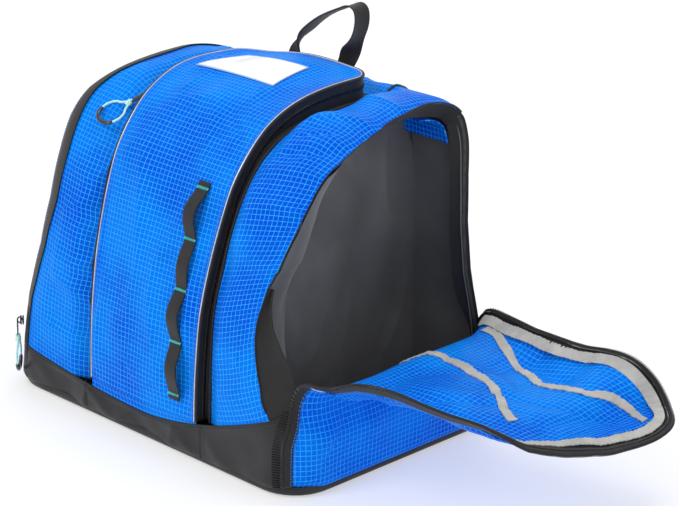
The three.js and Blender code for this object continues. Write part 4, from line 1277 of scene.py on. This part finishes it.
def make_flap_inside(name):
    side = SIDES[name]
    low, up = Shape(), Shape()
    for k, points in enumerate((MIDDLE_SEAM, REAR_SEAM)):
        for shape, part in zip((low, up), seam_tape(name, points)):
            ruched(shape, *part, SEAM_WIDTH, 5 + k)
    flap_pair(low, up, "seam_tapes", "pale", name, (f"seam_tape_middle_{name}", f"seam_tape_rear_{name}"))

    low, up = Shape(), Shape()
    first = front_v(338)
    for shape, v0, v1 in ((up, first, CUT_VS[1]), (low, CUT_VS[1], back_v(118))):
        v = np.linspace(v0, v1, 260)
        wide = mix(6, BINDING_WIDTH, smooth((v - first) / (back_v(340) - first)) ** 1.8)
        middle = edge_across(v, side) + ZIP_INSIDE + wide / 2
        q, n = shell(v, side * middle), shell_n(v, side * middle)
        centre = q + n * (side_lift(name, q[:, 1], q[:, 2]) - FABRIC - 2.8)[:, None]
        across = unit(shell(v, side * (middle + 1)) - q)
        ruched(shape, centre, across * (wide / BINDING_WIDTH)[:, None], -n, BINDING_WIDTH, 9, 6.5)
    flap_pair(low, up, "binding", "pale", name, (f"flap_binding_{name}",))

    crest_z = 125.0
    y = np.linspace(edge_y(crest_z, side, False) + 3, edge_y(crest_z, side, True) - 3, 160)
    crest = Shape().tube(side_surface(name, y, np.full(160, crest_z), 0.3), 0.9)
    flap_piece(crest, "low", f"fold_piping_{name}", "piping", name)

    low, up = Shape(), Shape()
    for shape, v0, v1 in ((low, front_v(112), CUT_VS[0]), (up, *CUT_VS), (low, CUT_VS[1], back_v(112))):
        v = np.linspace(v0, v1, 240)
        shape.tube(on_shell(v, side * (edge_across(v, side) + 5.6), -FABRIC - 1.5)[0], 1.1)
    flap_pair(low, up, "zip_cord", "sleeve", name)

    v = np.linspace(front_v(11), front_v(102), 30)
    path, face = on_shell(v, side * (edge_across(v, side) - 6.5), 1.3)
    along = unit(np.gradient(path, axis=0))
    ribs = Shape().bars(path, along, np.cross(face, along), face, (1.7, 11.5, 1.3))
    ribs.sheet(tape_points(side, v[0], v[-1], -12.5, -0.4, 40), top=1.0, bottom=-0.4)
    ribs.piece(f"corner_ribs_{name}", "tape")


for side_name in SIDES:
    make_flap_inside(side_name)


# ---- inside: dividers, board and the back's lining ----
DIVIDER_FOLDS = [((124, -110, 330), (124, -40, 120), 10, 4.5), ((124, -70, 370), (124, 20, 200), 9, -4.0),
                 ((124, -130, 230), (124, -70, 40), 12, 4.0), ((124, -30, 390), (124, 90, 290), 11, 4.5),
                 ((124, -140, 150), (124, -90, 60), 8, -3.5)]


def make_divider(name):
    side = SIDES[name]
    inner = PROFILE - PROFILE_N * 24
    front, back = inner[:APEX], inner[:APEX - 1:-1]
    u, w = uw(110, 90)
    z = mix(5, inner[:, 1].max() - 0.5, np.sin(math.pi / 2 * u))
    lower = 1 - smooth((z - 300) / 60)
    y0 = np.interp(z, front[:, 1], front[:, 0]) - 12 * lower
    y1 = np.interp(z, back[:, 1], back[:, 0]) + 14 * lower
    p = stack(side * DIVIDER_X, mix(y0, y1, w), z)
    soft = 3.4 * waves(p, 130, 91 + side, (1, 0.7, 1.5)) + 2.4 * creases(p, 170, 95 + side, (1, 0.8, 1.3))
    soft = folded(soft, p * [side, 1, 1], DIVIDER_FOLDS) * inside(u, w, 0.08)
    Shape().sheet(p, 1.0, -1.0, soft, ORIGIN).piece(f"divider_sheet_{name}", "lining", f"divider_{name}")


def make_front_lining(name):
    """The compartment's lining from the zip edge back to the divider."""
    side = SIDES[name]
    u, w = uw(80, 24)
    z = mix(40, 372, u)
    v = front_v(z)
    edge = shell(v, side * (strip_across(v, side) - 1.2), -3.5)
    deep = stack(side * (DIVIDER_X + 1.5), edge[..., 1] + 105, z)
    bow = stack(edge[..., 0] - side * 4, edge[..., 1] + 50, z)
    p = (1 - w)[..., None] ** 2 * edge + (2 * w * (1 - w))[..., None] * bow + (w ** 2)[..., None] * deep
    soft = 2.2 * waves(p, 80, 101 + side, (1, 1, 1.8)) * inside(u, w, 0.15)
    Shape().sheet(p, 0.5, -0.5, soft).piece(f"front_lining_{name}", "lining")


def make_inside():
    # along the foot of the open side: from the strip's edge to the zip line at the corner
    u, w = uw(40, 14)
    v = mix(front_v(88), front_v(240), u)
    s = mix(strip_across(v, 1) - 1.5, edge_across(v, 1) + 1.0, w)
    wedge = shell(v, s) - shell_n(v, s) * (1.2 + 5.0 * np.sin(math.pi * w) * smooth(u / 0.3))[..., None]
    Shape().sheet(wedge, 0.5, -0.9).piece("corner_gusset", "tape")
    for name in SIDES:
        make_divider(name)
        make_front_lining(name)

    u, w = uw(70, 90)
    v = mix(back_v(22), back_v(372), u)
    p = shell(v, mix(-1, 1, w) * (edge_across(v, 1) - 6), -11)
    soft = 1.4 * waves(p, 120, 111) + 1.4 * creases(p, 150, 112)
    for x in (-74, 74):
        soft = soft + 1.6 * np.exp(-((p[..., 0] - x) / 2.5) ** 2)
    Shape().sheet(p, 0.5, -0.9, soft * inside(u, w, 0.08)).piece("back_lining", "lining")

    u, w = uw(16, 90)
    v = mix(back_v(350), LID_BACK_V, u)
    p = shell(v, mix(-1, 1, w) * (edge_across(v, 1) - 14), -28)
    soft = 1.2 * waves(p, 60, 115) * inside(u, w, 0.2)
    Shape().sheet(p, 0.5, -0.9, soft).piece("back_lining_top", "blue")

    u, w = uw(20, 40)
    flat = stack(mix(-236, 236, w), mix(-148, 152, u), 7.6)
    Shape().slab(flat, flat - [0, 0, 2.8]).piece("base_stiffener", "plastic", "base_board")
    p = stack(mix(-244, 244, w), mix(-156, 160, u), 8.2)
    Shape().sheet(p, 0.8, 0, 0.5 * waves(p, 60, 113), ORIGIN).piece("floor_lining", "lining")


# ---- back panel, its pads and the shoulder straps ----
BACK_PADS = [("back_pad_left", -150, -62, 92, 350), ("back_pad_right", 62, 150, 92, 350),
             ("back_pad_middle", -44, 44, 84, 300)]
PUFF_FRAMES = 20
STRAP_TOP = (62, 366)
STRAP_BOTTOM = (128, 96)
STRAP_Y = 187
STRAP_BOW = 34
PAD_START = 0.03
PAD_END = 0.64
LOCK_AT = 0.702


def apply_modifiers(piece):
    graph = bpy.context.evaluated_depsgraph_get()
    mesh = bpy.data.meshes.new_from_object(piece.evaluated_get(graph), depsgraph=graph)
    piece.modifiers.clear()
    piece.data = mesh


def puffed(piece, pressure, travel):
    """Plumps a pad with air pressure, keeping each point within travel of where it was."""
    remesh = piece.modifiers.new("remesh", "REMESH")
    remesh.mode, remesh.voxel_size = "VOXEL", 4.5 * MM
    apply_modifiers(piece)
    start = np.array([v.co for v in piece.data.vertices])
    scene = bpy.context.scene
    cloth = piece.modifiers.new("cloth", "CLOTH")
    cloth.settings.use_pressure = True
    cloth.settings.uniform_pressure_force = pressure
    cloth.settings.effector_weights.gravity = 0
    cloth.settings.tension_stiffness = cloth.settings.compression_stiffness = 30
    cloth.point_cache.frame_start, cloth.point_cache.frame_end = 1, PUFF_FRAMES
    for f in range(1, PUFF_FRAMES + 1):
        scene.frame_set(f)
    apply_modifiers(piece)
    scene.frame_set(1)
    move = np.array([v.co for v in piece.data.vertices]) - start
    size = np.linalg.norm(move, axis=1, keepdims=True)
    move = move * np.minimum(1, travel * MM / np.maximum(size, 1e-9))
    piece.data.vertices.foreach_set("co", (start + move).astype(np.float32).ravel())
    piece.data.update()
    smoother = piece.modifiers.new("smooth", "SUBSURF")
    smoother.levels = smoother.render_levels = 1
    apply_modifiers(piece)
    piece.data.shade_smooth()


def make_back():
    u, w = uw(80, 90)
    v = mix(back_v(BACK_BOTTOM_Z), BACK_TOP_V + 0.004, u)
    p = shell(v, mix(-1, 1, w) * (edge_across(v, 1) - 0.6))
    soft = 1.2 * waves(p, 130, 121) * inside(u, w, 0.1)
    for x in (-168, -53, 53, 168):
        soft = soft - 1.8 * np.exp(-((p[..., 0] - x) / 3) ** 2) * inside(u, w, 0.05)
    Shape().sheet(p, bottom=-6.5, relief=soft).piece("back_shell", "mesh", "back_panel")
    for name, x0, x1, z0, z1 in BACK_PADS:
        u, w = uw(44, 18)
        p = shell(mix(back_v(z0), back_v(z1), u), mix(x0, x1, w))
        dome = 4.5 * inside(u, w, 0.22) ** 0.6
        for k in range(1, 5):
            dome = dome * (1 - 0.75 * np.exp(-((u - k / 5) / 0.018) ** 2))
        pad = Shape().sheet(p, top=0.8, bottom=-3, relief=dome).mesh(name, "mesh")
        puffed(pad, 2.5, 3)
        finish(pad, "mesh")
    edge = Shape()
    bottom_v = back_v(BACK_BOTTOM_Z)
    v = np.linspace(bottom_v, BACK_TOP_V, 120)
    for side in (-1, 1):
        edge.tube(shell(v, side * (edge_across(v, side) - 15), 0.8), 1.6)
    for level, reach in ((bottom_v, 224), (BACK_TOP_V, 206)):
        edge.tube(shell(np.full(120, level), np.linspace(-reach, reach, 120), 0.8), 1.6)
    edge.piece("back_binding", "tape")


def rounded(t, least=0.0):
    """Half width towards a round end, t from 0 at the end to 1 where the round is over."""
    return np.sqrt(np.clip(1 - (1 - np.clip(t, 0, 1)) ** 2, least, 1))


def pad_width(q):
    return mix(26, 62, smooth(q / 0.22)) * mix(1, 0.72, smooth((q - 0.4) / 0.24))


class Strap:
    """One shoulder strap's line, q from 0 at its top anchor to 1 at its bottom one."""

    def __init__(self, name):
        self.name, self.side = name, SIDES[name]
        fall = [self.side * (STRAP_BOTTOM[0] - STRAP_TOP[0]), 0.0, STRAP_BOTTOM[1] - STRAP_TOP[1]]
        down = unit(np.array(fall))
        self.across = np.array([-down[2], 0, down[0]])

    def on(self, q):
        bow = STRAP_BOW * np.sin(math.pi * np.clip(q, 0, 1)) ** 0.9
        return stack(self.side * mix(STRAP_TOP[0], STRAP_BOTTOM[0], q), STRAP_Y + bow,
                     mix(STRAP_TOP[1], STRAP_BOTTOM[1], q))

    def face(self, q):
        along = self.on(np.minimum(q + 0.01, 1)) - self.on(np.maximum(q - 0.01, 0))
        return unit(np.cross(self.across, along))

    def add(self, shape, name, key, *nodes):
        shape.piece(f"{name}_{self.name}", key, *nodes, body=f"{self.name}_strap_body")

    def pad(self):
        u, w = uw(60, 16)
        q = mix(PAD_START, PAD_END, u)
        corner = rounded(u / 0.03) * rounded((1 - u) / 0.04)
        c = mix(-1, 1, w)
        grid = self.on(q) + self.across * (c * pad_width(q) / 2 * mix(0.8, 1, corner))[..., None]
        thick = 1.6 + 3.9 * np.sqrt(np.clip(1 - c ** 4, 0, 1)) * mix(0.4, 1, corner)
        half = self.face(q) * thick[..., None]
        pad = Shape().slab(grid + half, grid - half).mesh(f"shoulder_pad_{self.name}", "mesh")
        puffed(pad, 3, 3)
        finish(pad, "mesh", f"strap_pad_{self.name}", body=f"{self.name}_strap_body")

        q = np.linspace(PAD_START, PAD_END, 90)
        reach = self.across * (pad_width(q) / 2)[:, None]
        edge, other = self.on(q) + reach, self.on(q) - reach
        ends = [np.linspace(other[k], edge[k], 12) for k in (-1, 0)]
        rim = Shape()
        for path in (edge, other, *ends):
            rim.tube(path, 2.3, 10, up=(0, 1, 0))
        self.add(rim, "pad_binding", "tape")

    def webs(self):
        web = Shape()
        for q0, q1, width, lift, thick in ((0.0, 0.6, 22, 6.8, 1.7), (0.58, LOCK_AT - 0.012, 20, 0.6, 1.7),
                                           (LOCK_AT + 0.012, 0.975, 20, 0, 1.7),
                                           (LOCK_AT - 0.03, LOCK_AT + 0.035, 18, 2.9, 1.4),
                                           (LOCK_AT + 0.02, 0.9, 20, 3.2, 1.5), (0.885, 0.902, 20, 4.6, 2.2)):
            q = np.linspace(q0, q1, 60)
            c = np.linspace(-0.5, 0.5, 7)
            grid = self.on(q)[:, None] + self.across * (c * width)[None, :, None]
            f = self.face(q)[:, None]
            crown = (1 - (2 * c) ** 4)[None, :, None] * 0.3
            web.slab(grid + f * (lift + thick / 2 + crown), grid + f * (lift - thick / 2))
        self.add(web, "strap_webs", "webbing", f"strap_webbing_{self.name}")

        marks = Shape()
        c = np.linspace(-9, 9, 20)
        for q in (0.04, 0.17, 0.3, 0.43, 0.56):
            zig = np.array([q]) + 0.003 * np.where(np.arange(20) % 2, 1, -1)
            marks.tube(self.on(zig) + self.across * c[:, None] + self.face(zig) * 8.2, 0.6, 6, up=(0, 1, 0))
        self.add(marks, "strap_bartacks", "dark_thread")

    def lock(self):
        lock = Shape()
        at = np.array([LOCK_AT])
        out, centre = self.face(at)[0], self.on(at)[0]
        down = np.cross(out, self.across)
        for x0, y0, x1, y1, radius, flat in ((-15, -12, 15, -12, 2.0, 0.85), (-15, 0, 15, 0, 2.0, 0.85),
                                             (-15, 12, 15, 12, 2.0, 0.85), (-14.5, -13, -14.5, 13, 2.3, 0.85),
                                             (14.5, -13, 14.5, 13, 2.3, 0.85), (-9, 14.5, 9, 14.5, 1.8, 0.8)):
            a, b = (centre + self.across * x + down * y for x, y in ((x0, y0), (x1, y1)))
            lock.tube(np.linspace(a, b, 8), radius, 10, up=tuple(out), squash=flat)
        self.add(lock, "lock_frame", "plastic", f"ladder_lock_{self.name}")

    def anchors(self):
        tabs = Shape()
        bottom = (self.side * STRAP_BOTTOM[0], STRAP_Y - 1, STRAP_BOTTOM[1] - 11)
        top = (self.side * STRAP_TOP[0], STRAP_Y - 2, STRAP_TOP[1] + 7)
        u, w = uw(10, 14)
        for (x, y, z), wide, lean in ((top, 34, -10 * smooth(u)), (bottom, 30, 0)):
            p = stack(x + mix(-wide / 2, wide / 2, w), y + lean, z + mix(-10, 10, u))
            tabs.sheet(p, 1.5, -1.5, 0.4 * inside(u, w, 0.2), ORIGIN)
        tabs.piece(f"strap_anchors_{self.name}", "webbing", f"strap_anchor_top_{self.name}",
                   f"strap_anchor_bottom_{self.name}")
        sewn = Shape()
        x, y, z = bottom
        a, b = 12, 7
        for corners in ([(-a, -b), (a, -b), (a, b), (-a, b), (-a, -b), (a, b)], [(-a, b), (a, -b)]):
            path = resample(np.array([(x + i, y + 1.95, z + j) for i, j in corners]), 1)
            sewn.stitches(path, np.tile([0, 1.0, 0], (len(path), 1)))
        sewn.piece(f"anchor_stitches_{self.name}", "dark_thread")


def make_strap(name):
    strap = Strap(name)
    strap.pad()
    strap.webs()
    strap.lock()
    strap.anchors()


# ---- grab handle ----
HANDLE_PATH = [(-47, 0), (-44, 16), (-28, 38), (4, 60), (40, 77), (60, 84), (71, 76), (69, 54), (53, 25),
               (40, 0)]
HANDLE_WIDTH = 24


def make_handle():
    path, _ = spaced([(x, HANDLE_Y, HANDLE_Z + z) for x, z in HANDLE_PATH], 110)
    t = unit(np.gradient(path, axis=0))
    i = np.linspace(0, 22, len(path))
    twist = (smooth(i / 5) * smooth((22 - i) / 5))[:, None]
    flat = unit(stack(-t[:, 2], 0, t[:, 0]))
    across = unit(flat * (1 - twist) + np.array([0, 1.0, 0]) * twist)
    face = unit(np.cross(across, t))
    c = np.linspace(-0.5, 0.5, 11)
    cup = 1.4 * np.sin(math.pi * np.linspace(0, 1, len(path)))[:, None] * (1 - (2 * c) ** 2)[None]
    grid = path[:, None] + across[:, None] * (c * HANDLE_WIDTH)[None, :, None]
    grid = grid + face[:, None] * cup[..., None]
    handle = Shape().slab(grid + face[:, None] * 1.0, grid - face[:, None] * 1.0)
    handle.piece("carry_handle", "webbing", "grab_handle", body="grab_handle_body")
    sewn = Shape()
    for k in (-9.6, 9.6):
        sewn.stitches(path + across * k + face * 1.1, face)
    sewn.piece("handle_stitches", "dark_thread", body="grab_handle_body")
    feet = Shape()
    for x in (HANDLE_PATH[0][0], HANDLE_PATH[-1][0]):
        u, w = uw(12, 12)
        v = top_v(mix(HANDLE_Y - 14, HANDLE_Y + 20, u))
        feet.sheet(shell(v, x + mix(-14, 14, w)), top=4.0, bottom=-0.5)
    feet.piece("handle_feet", "webbing")


# ---- zip sliders and their pulls ----
TAB_LENGTH = 20
LOOP_RADIUS = 18
LOOP_NECK = 9
LOOP_STEPS = 96
CORD = 3.0
SLEEVE = (0.32, 0.68)


def loop_points():
    half, open_by, turns = 2.2, 0.42, 14
    centre = -(LOOP_NECK + LOOP_RADIUS)
    a = math.pi / 2 - open_by - (2 * math.pi - 2 * open_by) * np.arange(turns + 1) / turns
    ring = [(LOOP_RADIUS * math.cos(k), centre + LOOP_RADIUS * math.sin(k), 0) for k in a]
    third = -LOOP_NECK / 3    # where the two ends leave the knot
    knots = [(half, 0, 0), (half + 0.4, third, 0), *ring, (-half - 0.4, third, 0), (-half, 0, 0)]
    points, length = spaced(knots, LOOP_STEPS)
    return points - [0, TAB_LENGTH + 0.4, 0], length


def make_slider(name, at, up, out):
    across = np.cross(up, out)
    to_slider = np.stack([across, up, out])
    shape = Shape()
    n = 28
    a = np.arange(n) * 2 * math.pi / n
    c, s = np.cos(a), np.sin(a)
    outline = stack(3.9 * np.sign(c) * np.abs(c) ** 0.7 * (1 + 0.16 * s), 6.3 * np.sign(s) * np.abs(s) ** 0.8)
    for z0, z1 in ((0.0, 1.5), (2.7, 4.3)):
        steps = ((0.001, z0), (0.9, z0), (1, z0 + 0.3), (1, z1 - 0.4), (0.86, z1), (0.001, z1 + 0.12))
        rings = np.stack([np.column_stack([outline * k, np.full(n, z)]) for k, z in steps])
        shape.put(rings.reshape(-1, 3) @ to_slider + at, grid_quads(len(rings), n, wrap=True))
    t = np.linspace(0, 1, 16)
    neck = stack(0, mix(-4.0, 4.4, t), 4.0 + 4.0 * np.sin(math.pi * t) ** 0.55)
    shape.tube(neck @ to_slider + at, 0.95, up=tuple(across))
    shape.tube(np.array([(0, 1.2, 1.2), (0, 1.3, 2), (0, 1.3, 3)]) @ to_slider + at, 1.6, up=tuple(across))
    shape.piece(f"zip_slider_{name}", "metal", f"slider_{name}", body=f"{name}_slider_body")


def tab_shape(place):
    u, w = uw(26, 10)
    c = mix(-1, 1, w)
    wide = 2.1 + 0.9 * smooth(u / 0.25) - 0.5 * smooth((u - 0.86) / 0.14)
    end = rounded(u / 0.08, 0.05) * rounded((1 - u) / 0.08, 0.05)
    rib = 0.22 * (np.sin(u * 60) > 0) * smooth((u - 0.2) / 0.1) * smooth((0.85 - u) / 0.1)
    grid = stack(c * wide * end, mix(1.4, -TAB_LENGTH, u), 0.55 + 0.3 * (1 - c ** 4) + rib)
    return Shape().slab(place(grid), place(grid * [1, 1, -1]))


def knot_shape(place, down, sideways):
    knot = Shape()
    drop = -(TAB_LENGTH + 1.0)
    a = np.linspace(0, 1, 40) * 2 * math.pi
    for k, tilt in enumerate((0.5, -0.5, 0.1)):
        ring = stack(3.1 * np.cos(a), drop - 1.6 - 2.0 * k + 1.5 * np.sin(a) * tilt, 2.4 * np.sin(a))
        knot.tube(place(ring), CORD / 2 * 0.95, up=tuple(-down))
    for side in (1, -1):
        tail = [(0, drop + 2.5, side * 1.6), (0, drop - 2, side * 2.0), (0, drop - 7.5, side * 0.8)]
        knot.tube(place(tail), 1.4, up=tuple(sideways))
    return knot


def cord_curve(name, placed):
    data = bpy.data.curves.new(name, "CURVE")
    data.dimensions = "3D"
    data.bevel_depth = CORD / 2 * MM
    data.bevel_resolution = 3
    line = data.splines.new("POLY")
    line.points.add(len(placed) - 1)
    for point, at in zip(line.points, placed):
        point.co = (*at, 1)
    data.materials.append(M["cord"])
    return link_object(name, data)


def make_pull(name, at, up, out, down, facing, shift=(0, 0, 0)):
    """A slider at a point of its zip, and the pull hanging from it along down."""
    up, out, down = unit(np.array(up, float)), unit(np.array(out, float)), unit(np.array(down, float))
    make_slider(name, at, up, out)
    pivot = np.array(at) + out * (4.6 + 3.4) + np.array(shift)
    sideways = unit(np.cross(facing, down))
    face = np.cross(down, sideways)
    to_pull = np.stack([sideways, -down, face])
    body = f"{name}_pull_body"

    def place(p):
        return np.asarray(p) @ to_pull + pivot
    tab_shape(place).piece(f"zip_tab_{name}", "sleeve", f"pull_tab_{name}", body=body, slot="slider_metal")
    knot = knot_shape(place, down, sideways).piece(f"pull_knot_{name}", "cord", body=body)

    points, length = loop_points()
    first, last = (int(LOOP_STEPS * share) for share in SLEEVE)
    i = np.arange(last + 1 - first)
    taper = np.minimum(1, 0.72 + 0.4 * np.minimum(i, i[::-1]) / 3)
    grip = Shape().tube(place(points[first:last + 1]), 2.5 * taper, 12, up=tuple(face))
    sleeve = grip.piece(f"pull_grip_{name}", "sleeve", f"pull_sleeve_{name}", body=body)
    placed = slumped(place(points)) * MM
    loop = finish(cord_curve(f"pull_loop_{name}", placed), "cord", f"pull_cord_{name}", body=body)
    tuple(placed[0])


def make_pulls():
    t = lid_t(392)
    edge = -lid_edge(t)
    low, high = (lid_point(t + k, edge, 12) for k in (-0.02, 0.02))
    make_pull("front", lid_point(t, edge - 0.6, 11), high - low, (-1, 0, 0), (-0.44, -0.79, -0.43),
              (0, -0.68, 0.73), (0, -1.7, 1.8))
    for name, side, v in (("left", -1, front_v(84)), ("right", 1, back_v(84))):
        s = side * edge_across(v, side)
        on = shell(v, s)
        out = unit((shell(v, s, 10) - on) * [1, 1, 0])
        out = unit(out + [side, 0, 0])
        make_pull(name, on + out * 5.3, (0, 0, 1), out, (0, 0, -1), out)


make_inside()
make_back()
for side_name in SIDES:
    make_strap(side_name)
make_handle()
make_pulls()
